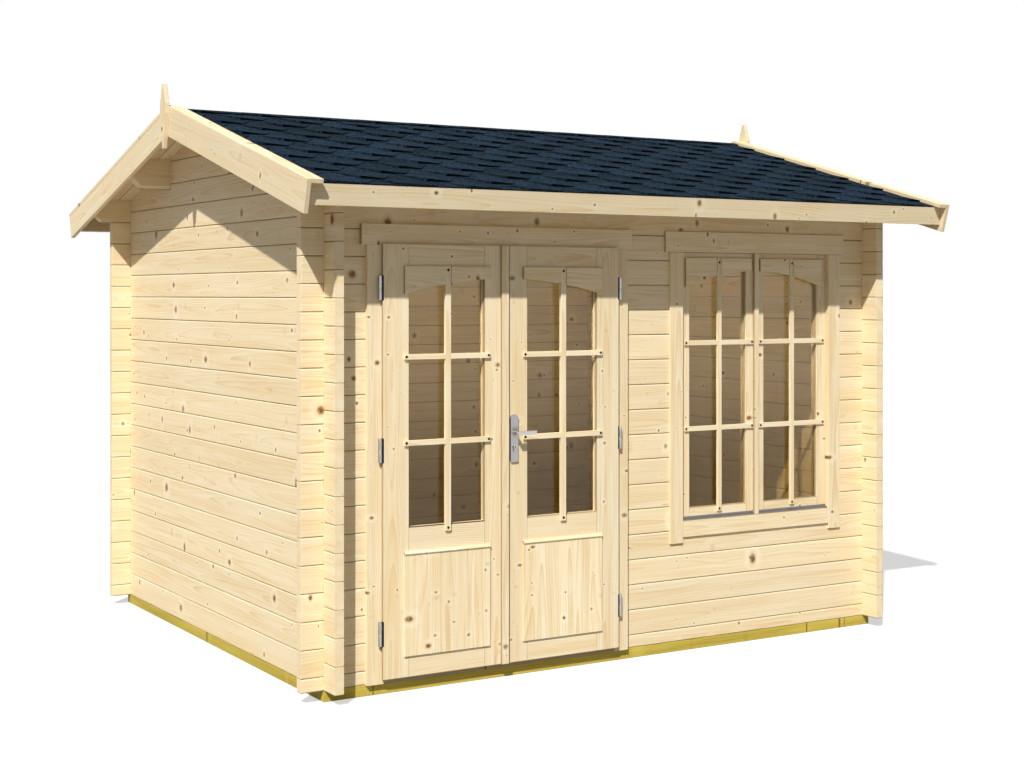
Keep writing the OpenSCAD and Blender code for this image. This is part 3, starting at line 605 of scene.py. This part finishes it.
def stilesAndRails(node, body, lights, railTop=None, shadeBeadOnly=False):
    name = pieceName(node, "Wood")
    j = joinery
    boards = looseParts(cleanCopy(node, name))
    for low, high in lights:
        boards = splitAt(boards, 0, low.x - j["hairline"])
        boards = splitAt(boards, 0, high.x + j["hairline"])
    stiles, rails, beads = [], [], []
    for board in boards:
        middle = sum(v.co.x for v in board.data.vertices) / len(board.data.vertices)
        inLight = [light for light in lights if light[0].x < middle < light[1].x]
        if not inLight:
            stiles.append(board)
            continue
        low, high = inLight[0]
        for part in splitAt(splitAt([board], 2, low.z - j["hairline"]), 2, high.z + j["hairline"]):
            foot, head = reach(part, 2)
            if low.z - 1 * mm < foot and head < high.z + 1 * mm:
                for bead in looseParts(part):
                    planeBead(bead, low, high)
                    depths = sorted({round(v.co.y, 5) for v in bead.data.vertices})
                    front = depths[0] < low.y
                    beads.append(bead)
                    if shadeBeadOnly and front:  # what is before the bead stays pale
                        skin, bead = splitAt([bead], 1, depths[1] - j["hairline"])
                        markGrain(skin, joints="none")
                        beads.append(bead)
                    # painted shade on the beads: over the front faces of a door's beads, and all through
                    # the rest
                    markGrain(bead, joints="face" if front and not shadeBeadOnly else "whole")
            elif railTop and head < high.z:
                rails += splitAt([part], 2, railTop)
            else:
                rails.append(part)
    for board in stiles + rails:
        soften(board, j["edge"], clamp=False)
    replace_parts(woodOf(name, stiles + rails + beads, body, "joinery_spruce", planedSpruceJoinery), node)


def lightOf(glassNode):
    low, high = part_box(glassNode)
    edge = Vector((joinery["paneOver"], 0, joinery["paneOver"]))
    return low + edge, high - edge


leftLight, rightLight = lightOf("left_door_glass"), lightOf("right_door_glass")
stilesAndRails("left_door_leaf", "left_door", [leftLight], joinery["lowRailTop"])
stilesAndRails("right_door_leaf", "right_door", [rightLight], joinery["lowRailTop"])
sashLow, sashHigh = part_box("window_sashes")
windowMiddle = (sashLow.x + sashHigh.x) / 2
bothLow, bothHigh = lightOf("window_glass")
inner = joinery["halfGap"] + bothLow.x - sashLow.x  # from the middle to a light
leftPane = (bothLow, Vector((windowMiddle - inner, bothHigh.y, bothHigh.z)))
rightPane = (Vector((windowMiddle + inner, bothLow.y, bothLow.z)), bothHigh)
stilesAndRails("window_sashes", "cabin", [leftPane, rightPane], shadeBeadOnly=True)

for side in ("left", "right"):
    node = side + "_door_boards"
    name = pieceName(node, "Wood")
    panelParts, otherParts = [], []
    least, most = joinery["panelHigh"]
    for board in looseParts(cleanCopy(node, name)):
        foot, head = reach(board, 2)
        (panelParts if least < head - foot < most else otherParts).append(board)
    left, right = reach(panelParts[0], 0)
    for board in otherParts + panelParts:
        soften(board, joinery["edge"], clamp=False)
    for share in joinery["staves"]:
        panelParts = splitAt(panelParts, 0, left + (right - left) * share)
    for stave in panelParts:
        markGrain(stave, joints="none")
    panel = joined(side + "DoorPanel", panelParts)
    settle(panel, side + "_door", "joinery_spruce", planedSprucePanel)
    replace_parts(woodOf(name, otherParts, side + "_door", "joinery_spruce", planedSpruceJoinery), node)
print("leaves, sashes and boards ready")


# Tongue and groove planks for the floor and the roof, one modelled and the rest laid beside it
def planks(name, plank, width, axis, end):
    count = math.ceil((end - reach(plank, axis)[0]) / width)
    apply(plank, "ARRAY", count=count, use_relative_offset=False,
          use_constant_offset=True, constant_offset_displace=along(axis, width))
    cut(plank, along(axis, end), along(axis, 1), drop="above")
    plank.name = name
    return plank


floorLow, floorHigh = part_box("floor_boards")
plank = block("plank", floorLow, (floorHigh.x, floorLow.y + roof["plankWidth"], floorHigh.z))
soften(plank, roof["floorEdge"])
floorPlanks = planks("floorPlanks", plank, roof["plankWidth"], 1, floorHigh.y)
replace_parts(woodOf("floorPlanks", [floorPlanks], "cabin", "spruce", planedSpruceLog), "floor_boards")

rise = math.tan(roof["pitch"])
roofLow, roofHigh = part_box("front_roof_boards")
ridgeZ = roofHigh.z - roof["boardThick"] / math.cos(roof["pitch"])
deckEnd = (-roofLow.y - roof["boardThick"] * math.sin(roof["pitch"])) / math.cos(roof["pitch"])


def toSlope(piece, rear=False):
    piece.rotation_euler = (roof["pitch"], 0, 0)
    piece.location = (0, 0, ridgeZ)
    only(piece)
    bpy.ops.object.transform_apply()
    if rear:
        piece.rotation_euler = (0, 0, math.pi)
        bpy.ops.object.transform_apply()


for side in ("front", "rear"):
    plank = block("plank", (roofLow.x, -deckEnd, 0),
                  (roofLow.x + roof["plankWidth"], -roof["halfGap"], roof["boardThick"]))
    soften(plank, roof["plankEdge"])
    movePoints(plank, lambda p: p.y > -5 * mm and p.z > roof["boardThick"] / 2,
               (0, roof["boardThick"] * rise, 0))  # mitred at the ridge
    slopePlanks = planks(side + "RoofPlanks", plank, roof["plankWidth"], 0, roofHigh.x)
    toSlope(slopePlanks, side == "rear")
    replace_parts(woodOf(side + "RoofPlanks", [slopePlanks], "cabin", "spruce", planedSpruceLog, True),
                side + "_roof_boards")
print("planks ready")


# Metals and glass

def rolledMetal(name, tone, roughness, grain, brush):
    material, add = newMaterial(name)
    place = add("TexCoord").outputs["Object"]
    lines = add("VectorMath", {0: place, 1: brush}, operation="MULTIPLY")
    marks = add("TexNoise", {"Vector": lines, "Scale": 1.0, "Detail": 2.0})
    worn = add("MapRange", {"Value": marks, 3: roughness * 0.75, 4: roughness * 1.3})
    shade = add("MapRange", {"Value": marks, 3: 1 - grain, 4: 1 + grain})
    face = add("HueSaturation", {"Value": shade, "Color": colour(tone)})
    bump = add("Bump", {"Height": marks, "Strength": 0.1, "Distance": 0.2 * mm})
    shader = add("BsdfPrincipled", {"Base Color": face, "Metallic": 1.0, "Roughness": worn,
                                    "Normal": bump})
    add("OutputMaterial", {"Surface": shader})
    return material


pane = {
    "foot": "#A89A68",          # painted reflection: darker and smokier low down, as if the panes mirrored dark ground
    "head": "#F8F5EC",
    "heights": (0.75, 1.45),    # metres up, from the one to the other
    "shadow": "#EAE6DC",        # what the sun keeps on its way through one face
}


def floatGlass(s):
    # float glass, fire polished: clear, with a sharp reflection, and a painted reflection that darkens it
    # towards the foot
    material, add = newMaterial("floatGlass")
    place = add("TexCoord").outputs["Object"]
    waves = add("TexNoise", {"Vector": place, "Scale": 2.2, "Detail": 1.0})  # long and shallow
    bump = add("Bump", {"Height": waves, "Strength": 0.04, "Distance": 1.0 * mm})
    height = add("SeparateXYZ", {0: place}).outputs["Z"]
    foot, head = s["heights"]
    height = add("MapRange", {"Value": height, 1: foot, 2: head}, interpolation_type="SMOOTHSTEP")
    paintedReflectionTint = add("Mix", {0: height, 6: colour(s["foot"]), 7: colour(s["head"])}, data_type="RGBA")
    glass = add("BsdfPrincipled", {"Base Color": paintedReflectionTint, "Roughness": 0.0, "IOR": 1.45,
                                   "Transmission Weight": 1.0, "Normal": bump})
    clear = add("BsdfTransparent", {"Color": colour(s["shadow"])})
    path = add("LightPath")
    both = add("MixShader", {0: path.outputs["Is Shadow Ray"], 1: glass, 2: clear})
    add("OutputMaterial", {"Surface": both})
    return material


# Zinc plated steel: light grey with fine upright draw marks; the last three numbers are marks a metre
zincPlatedSteel = rolledMetal("zincPlatedSteel", "#AEAEB0", 0.42, 0.14, (500, 500, 30))
# Satin stainless steel: brushed across, soft highlight
satinStainlessSteel = rolledMetal("satinStainlessSteel", "#ACAAAB", 0.36, 0.08, (60, 60, 1400))
# Polished stainless steel of the lever and the lock: a sharper highlight from its polish, and a lighter
# tone than the plate's steel, a painted highlight for the light on the lever's rounded top
polishedLitSteel = rolledMetal("polishedLitSteel", "#C6C2BE", 0.3, 0.06, (1400, 60, 60))
# Phosphated screws: near black, dull; the same black is painted shade in the key holes and round the
# screw heads
blackSteelAndShade = rolledMetal("blackSteelAndShade", "#0D0906", 0.7, 0.15, (400, 400, 400))
# Dark steel of the hinge wings, brown black and dull: painted shade for the gap beside each barrel and
# painted shadow of the barrel on the leaf
hingeShadeSteel = rolledMetal("hingeShadeSteel", "#3A342D", 0.6, 0.12, (300, 300, 300))
# Coil coated steel sheet, folded: an even mid grey
coatedSteelSheet = rolledMetal("coatedSteelSheet", "#8B8A89", 0.45, 0.06, (25, 25, 25))
clearPane = floatGlass(pane)
for node, material in (("left_door_glass", clearPane), ("right_door_glass", clearPane),
                       ("window_glass", clearPane), ("window_sill", coatedSteelSheet)):
    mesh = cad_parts[node].data
    mesh.materials.clear()
    mesh.materials.append(material)
print("metals and glass ready")


# Glazing bars, screwed on the face of the leaves and sashes

doorBars = {
    "width": 26 * mm,
    "rowHeight": 23 * mm,
    "proud": 10 * mm,          # in front of the stiles and rails
    "deeper": 6 * mm,          # into the light
    "rows": (1.0384, 1.3969),
    "low": 0.661,
    "high": 1.775,
    "halfSpan": 206.5 * mm,
    "aside": 0,                # to the right of the middle of the light
    "screwIn": 8 * mm,
    "screwUp": 13 * mm,
    "screwDown": 15 * mm,
    "edge": 1.1 * mm,
    "off": 0.2 * mm,           # clear of the face it is screwed to
    "room": 0.3 * mm,          # round what stands in the light
}
windowBars = dict(doorBars, width=25 * mm, proud=8 * mm, deeper=3 * mm, rows=(1.028, 1.430), low=0.634,
                  high=1.8285, halfSpan=206 * mm, aside=4 * mm, screwUp=11 * mm, screwDown=20 * mm)
# the heads are drawn wider than real ones, so that their black also paints the shadow round each head
screwShape = {"radius": 5.8 * mm, "rise": 0.6 * mm, "socket": 1.8 * mm}


def facesFront(face):
    return face.normal.y < -0.9


def screwHead(s):
    bpy.ops.mesh.primitive_cylinder_add(vertices=14, radius=s["radius"], depth=2 * s["rise"],
                                        rotation=(math.radians(90), 0, 0))
    head = bpy.context.object
    bpy.ops.object.transform_apply()
    pick(head, "FACE", facesFront)
    bpy.ops.mesh.bevel(offset=s["rise"] * 0.6, segments=1, affect="EDGES")
    closeEdit()
    pick(head, "FACE", facesFront)
    bpy.ops.mesh.inset(thickness=s["radius"] - s["socket"] - s["rise"], depth=0)
    bpy.ops.mesh.extrude_region_move(TRANSFORM_OT_translate={"value": (0, s["rise"], 0)})
    closeEdit()
    return head


def glazingBar(low, high, axis, light, b):
    bar = block("glazingBar", low, high)
    start, end = light[0][axis] + b["room"], light[1][axis] - b["room"]
    for at in (start, end):
        if low[axis] < at < high[axis]:
            cut(bar, along(axis, at), along(axis, 1))
    pick(bar, "FACE", lambda face: face.normal.y > 0.9 and start < face.center[axis] < end)
    bpy.ops.mesh.extrude_region_move(TRANSFORM_OT_translate={"value": (0, b["deeper"], 0)})
    closeEdit()
    soften(bar, b["edge"], 2, clamp=False)
    markGrain(bar)
    return bar


def barGrid(name, light, faceY, b):
    middle = (light[0].x + light[1].x) / 2 + b["aside"]
    half, span = b["width"] / 2, b["halfSpan"]
    past = half + joinery["halfGap"]
    back, front = faceY - b["off"], faceY - b["proud"]
    parts = [glazingBar((middle - half, front, b["low"]), (middle + half, back, b["high"]), 2, light, b)]
    screws = [(middle, b["low"] + b["screwUp"]), (middle, b["high"] - b["screwDown"])]
    for z in b["rows"]:
        low, high = z - b["rowHeight"] / 2, z + b["rowHeight"] / 2
        for left, right in ((middle - span, middle - past), (middle + past, middle + span)):
            parts.append(glazingBar((left, front, low), (right, back, high), 0, light, b))
        screws += [(middle + side * (span - b["screwIn"]), z) for side in (-1, 1)]
    head = screwHead(screwShape)
    heads = [copyOf(head, "screw", (x, front, z)) for x, z in screws]
    bpy.data.objects.remove(head)
    return joined(name + "Bars", parts), joined(name + "Screws", heads)


def moved(pair, names, by):
    return [copyOf(piece, name, by) for piece, name in zip(pair, names)]


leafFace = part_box("left_door_leaf")[0].y
leftPair = barGrid("leftDoor", leftLight, leafFace, doorBars)
rightPair = moved(leftPair, ("rightDoorBars", "rightDoorScrews"), rightLight[0] - leftLight[0])
windowPair = barGrid("leftSash", leftPane, sashLow.y, windowBars)
otherPair = moved(windowPair, ("rightSashBars", "rightSashScrews"), rightPane[0] - leftPane[0])
for (bars, heads), body in ((leftPair, "left_door"), (rightPair, "right_door"), (windowPair, "cabin"),
                            (otherPair, "cabin")):
    settle(bars, body, "joinery_spruce", planedSpruceBar)
    settle(heads, body, "zinc_steel", blackSteelAndShade)
print("glazing bars ready")


# Hinges and handle

hinges = {
    "edge": 1.2 * mm,
    "feet": (0.205, 0.962, 1.634),  # lower ends of the barrels
    "high": 100 * mm,
    "longer": 1 * mm,               # the wings reach this far past each end of the barrel
    # the wings and flanges are brown black: painted shade and shadow beside each barrel
    "wing": (0.1 * mm, 2.6 * mm),   # from the leaf's edge, in the gap beside it
    "deep": (0.6 * mm, 12.5 * mm),  # behind the leaf's face
    "wingEdge": 0.5 * mm,
    "flange": (2.6 * mm, 4 * mm),   # beside the leaf's edge, and on its face
    "proud": (0.9 * mm, 0.1 * mm),  # front and back of the flange, before the leaf's face
    "flangeEdge": 0.3 * mm,
}
handle = {
    "leverEdge": 1.2 * mm,
    "plateEdge": 1.8 * mm,
    "axisHigh": 1.060,
    "lockDown": 59 * mm,        # from the lever's axis to the lock's
    "lockRadius": 8.5 * mm,
    "lockProud": 8 * mm,
    "lockRim": (1.6 * mm, 0.5 * mm),  # its width, and the sunk step inside it
    "lockEdge": 0.5 * mm,
    "finHalf": 5 * mm,
    "finDown": (4 * mm, 24.5 * mm),   # its top and its foot, down from the lock's axis
    "finProud": 2.5 * mm,
    "finEdge": 1.0 * mm,
    "keyWide": 4.2 * mm,
    "keyDown": 7.5 * mm,
    "keyUp": 3.5 * mm,
    "keyDeep": 1.0 * mm,        # into the steel, and how far it stands out to be seen
    "keyProud": 0.12 * mm,
    "keyEdge": 0.4 * mm,
}


def roundedSteel(node, body, slotName, material, edge, steps):
    piece = cleanCopy(node, pieceName(node, "Steel"))
    soften(piece, edge, steps)
    shineSmoothly(piece)
    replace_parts(settle(piece, body, slotName, material), node)


def hingePlate(acrossX, acrossY, foot, edge):
    low, high = min(acrossX), max(acrossX)
    plate = block("wing", (low, acrossY[0], foot - hinges["longer"]),
                  (high, acrossY[1], foot + hinges["high"] + hinges["longer"]))
    soften(plate, edge)
    return plate


for node, body in (("frame_hinges", "cabin"), ("left_door_hinges", "left_door"),
                   ("right_door_hinges", "right_door")):
    roundedSteel(node, body, "zinc_steel", zincPlatedSteel, hinges["edge"], 2)

for side, sign, body in (("left", 1, "left_door"), ("right", -1, "right_door")):
    leafLow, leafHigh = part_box(side + "_door_leaf")
    edgeX = leafLow.x if sign > 0 else leafHigh.x
    wingX = [edgeX - sign * out for out in hinges["wing"]]
    wingY = [leafFace + deep for deep in hinges["deep"]]
    flangeX = (edgeX - sign * hinges["flange"][0], edgeX + sign * hinges["flange"][1])
    flangeY = [leafFace - proud for proud in hinges["proud"]]
    wings = []
    for foot in hinges["feet"]:
        wings.append(hingePlate(wingX, wingY, foot, hinges["wingEdge"]))
        wings.append(hingePlate(flangeX, flangeY, foot, hinges["flangeEdge"]))
    settle(joined(side + "HingeShadeWings", wings), body, "zinc_steel", hingeShadeSteel)

roundedSteel("handle_plates", "right_door", "satin_steel", satinStainlessSteel, handle["plateEdge"], 3)
roundedSteel("lever_handle", "lever", "satin_steel", polishedLitSteel, handle["leverEdge"], 3)

plateLow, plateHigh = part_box("handle_plates")
handleX = (plateLow.x + plateHigh.x) / 2
keyZ = handle["axisHigh"] - handle["lockDown"]
lockFront = plateLow.y - handle["lockProud"]
bpy.ops.mesh.primitive_cylinder_add(vertices=28, radius=handle["lockRadius"], depth=handle["lockProud"],
                                    location=(handleX, lockFront + handle["lockProud"] / 2, keyZ),
                                    rotation=(math.radians(90), 0, 0))
lock = bpy.context.object
bpy.ops.object.transform_apply()
pick(lock, "FACE", facesFront)
rim, step = handle["lockRim"]
bpy.ops.mesh.inset(thickness=rim, depth=0)
bpy.ops.mesh.inset(thickness=step, depth=-step)
closeEdit()
soften(lock, handle["lockEdge"], 2)
finTop, finFoot = handle["finDown"]
fin = block("lockFin", (handleX - handle["finHalf"], plateLow.y - handle["finProud"], keyZ - finFoot),
            (handleX + handle["finHalf"], plateLow.y, keyZ - finTop))
soften(fin, handle["finEdge"], 2)
for piece, name, material in ((lock, "lockCylinder", polishedLitSteel),
                              (fin, "lockFin", satinStainlessSteel)):
    shineSmoothly(piece)
    settle(joined(name, [piece]), "right_door", "satin_steel", material)
# key holes: near black slabs on the lock's front and back, painted shade for the holes
keys = []
for y, sign in ((lockFront, -1), (plateHigh.y, 1)):  # one on the front, one behind
    ys = sorted((y - sign * handle["keyDeep"], y + sign * handle["keyProud"]))
    key = block("keyway", (handleX - handle["keyWide"] / 2, ys[0], keyZ - handle["keyDown"]),
                (handleX + handle["keyWide"] / 2, ys[1], keyZ + handle["keyUp"]))
    soften(key, handle["keyEdge"])
    keys.append(key)
settle(joined("keyHoleShades", keys), "right_door", "satin_steel", blackSteelAndShade)
print("ironwork ready")


# Bitumen shingles: felt with pressed slate granules, coarse, matt and blue black, cut to half hexagons

shingles = {
    "pitch": 302 * mm,
    "flat": 108 * mm,
    "slant": 96 * mm,
    "exposure": 131.2 * mm,
    "firstRow": 56 * mm,        # first row of tab edges, down from the ridge
    "start": -1.275,            # left end of a flat in that row
    "shift": 144 * mm,          # of the next row
    "thickLow": 0.5 * mm,
    # the tall black front of each tab is partly painted shadow, and the lean tapers it
    "thickHigh": 12.5 * mm,
    "sheetTop": 22.2 * mm,      # top of the felt sheet, square to the slope
    "bottom": -0.3 * mm,        # a tab dips this much into the sheet
    "eaves": 1.597,             # from the ridge down the slope
    "pastRidge": 0.3 * mm,      # each slope meets the other one there
    "verge": 0.6 * mm,          # left free beside the cap boards
    "lean": 6.5 * mm,           # a tab lifts this much more at its left corner than at its right
    "tones": (("#040A11", "#2A3C4A"), ("#060E16", "#2D3F50"), ("#040910", "#243541")),
}


def slateFelt(name, dark, light):
    material, add = newMaterial(name)
    place = add("TexCoord").outputs["Object"]
    flat = add("VectorMath", {0: place, 1: (0.55, 1.0, 1.0)}, operation="MULTIPLY")
    # the grit is about 1 mm, drawn at 9 mm so that it shows
    grit = add("TexNoise", {"Vector": flat, "Scale": 110.0, "Detail": 3.0, "Roughness": 0.7})
    cloud = add("TexNoise", {"Vector": place, "Scale": 11.0, "Detail": 3.0})
    tone = add("Math", {0: grit, 1: 3.4, 2: -1.55}, operation="MULTIPLY_ADD")
    tone = add("Math", {0: cloud, 1: 0.5, 2: tone}, operation="MULTIPLY_ADD", use_clamp=True)
    felt = add("Mix", {0: tone, 6: colour(dark), 7: colour(light)}, data_type="RGBA")
    bump = add("Bump", {"Height": grit, "Strength": 0.4, "Distance": 1.0 * mm})
    shader = add("BsdfPrincipled", {"Base Color": felt, "Roughness": 0.95,
                                    "Specular IOR Level": 0.03, "Normal": bump})
    add("OutputMaterial", {"Surface": shader})
    return material


feltTones = [slateFelt("slateGranuleFelt" + str(i), *pair) for i, pair in enumerate(shingles["tones"], 1)]
# Bare bitumen where the felt is cut: black; the tabs' tall fronts are drawn in it, so that it also paints
# the shadow under each tab
feltEdgeAndShadow = slateFelt("bitumenEdgeAndShadow", "#02050A", "#070B12")


def shingleTab(s):
    long = 2 * s["exposure"]
    tab = block("tab", (-s["slant"], 0, 0), (s["flat"] + s["slant"], long, s["thickHigh"]))
    # the cuts beside the flat run up and out to the next tabs
    cut(tab, (0, 0, 0), (-s["exposure"], -s["slant"], 0), drop="above")
    cut(tab, (s["flat"], 0, 0), (s["exposure"], -s["slant"], 0), drop="above")
    cut(tab, (0, s["exposure"], 0), (0, 1, 0))
    for point in tab.data.vertices:
        if point.co.z > s["thickHigh"] / 2:
            fade = max(1 - point.co.y / s["exposure"], 0)
            rightward = min(max(point.co.x / s["flat"], 0), 1)
            point.co.z = s["thickLow"] + (s["thickHigh"] - s["thickLow"] - s["lean"] * rightward) * fade
        else:
            point.co.z = s["bottom"]
    for material in feltTones + [feltEdgeAndShadow]:
        tab.data.materials.append(material)
    for face in tab.data.polygons:
        face.material_index = len(feltTones) if facesFront(face) else 0
    return tab


def shingleSlope(name, s, limitX):
    tab = shingleTab(s)
    tabs = []
    row, number = s["firstRow"], 0
    while row < s["eaves"] + s["exposure"]:
        start = s["start"] + (s["shift"] if number % 2 else 0)
        start -= s["pitch"] * math.ceil((start + limitX) / s["pitch"])
        while start < limitX + s["slant"]:
            copy = copyOf(tab, "tab", (start, -row, s["sheetTop"]))
            tone = random.choice((0, 0, 1, 1, 2))  # the third is the rarest
            for face in copy.data.polygons:
                if face.material_index == 0:
                    face.material_index = tone
            tabs.append(copy)
            start += s["pitch"]
        row += s["exposure"]
        number += 1
    bpy.data.objects.remove(tab)
    slope = joined(name, tabs)
    # trimmed at both verges, the ridge and the eaves
    for at, normal in (((-limitX, 0, 0), (-1, 0, 0)), ((limitX, 0, 0), (1, 0, 0)),
                       ((0, s["pastRidge"], 0), (0, 1, 0)), ((0, -s["eaves"], 0), (0, -1, 0))):
        cut(slope, at, normal, drop="above")
    return slope


capEdge = -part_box("left_cap_boards")[1].x - shingles["verge"]
for side in ("front", "rear"):
    slope = shingleSlope(side + "ShingleTabs", shingles, capEdge)
    toSlope(slope, side == "rear")
    settle(slope, "cabin", "bitumen_shingle")
    sheet = cleanCopy(side + "_shingles", side + "UnderFelt")
    out = -1 if side == "front" else 1
    down = Vector((0, out * math.cos(roof["pitch"]), -math.sin(roof["pitch"])))
    cut(sheet, Vector((0, 0, ridgeZ)) + down * shingles["eaves"], down, drop="above")
    settle(sheet, "cabin", "bitumen_shingle", feltTones[0], feltEdgeAndShadow)
    for face in sheet.data.polygons:
        face.material_index = 1 if face.normal.y * out > 0.8 else 0
    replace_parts(sheet, side + "_shingles")

ridgeCap = {
    "length": 330 * mm,
    "overlap": 30 * mm,
    "half": 47 * mm,            # width down each slope
    "thick": 2.5 * mm,
    "lift": 1.0 * mm,           # the end that lies on the next strip
    "up": 27.2 * mm,            # above the underside of the roof boards
    "edge": 0.6 * mm,
}


def ridgeStrip(r):
    strip = block("strip", (0, -r["half"], 0), (r["length"], r["half"], r["thick"]))
    cut(strip, (0, 0, 0), (0, 1, 0))
    movePoints(strip, lambda p: abs(p.y) > r["half"] / 2, (0, 0, -r["half"] * rise))
    movePoints(strip, lambda p: p.x < r["length"] / 2, (0, 0, r["lift"]))
    soften(strip, r["edge"])
    strip.data.materials.append(feltTones[-1])
    return strip


strip = ridgeStrip(ridgeCap)
strips = []
at = -capEdge
while at < capEdge:
    strips.append(copyOf(strip, "strip", (at, 0, ridgeZ + ridgeCap["up"])))
    at += ridgeCap["length"] - ridgeCap["overlap"]
bpy.data.objects.remove(strip)
ridgePiece = joined("ridgeStrips", strips)
cut(ridgePiece, (capEdge, 0, 0), (1, 0, 0), drop="above")
settle(ridgePiece, "cabin", "bitumen_shingle")
print("shingles ready")
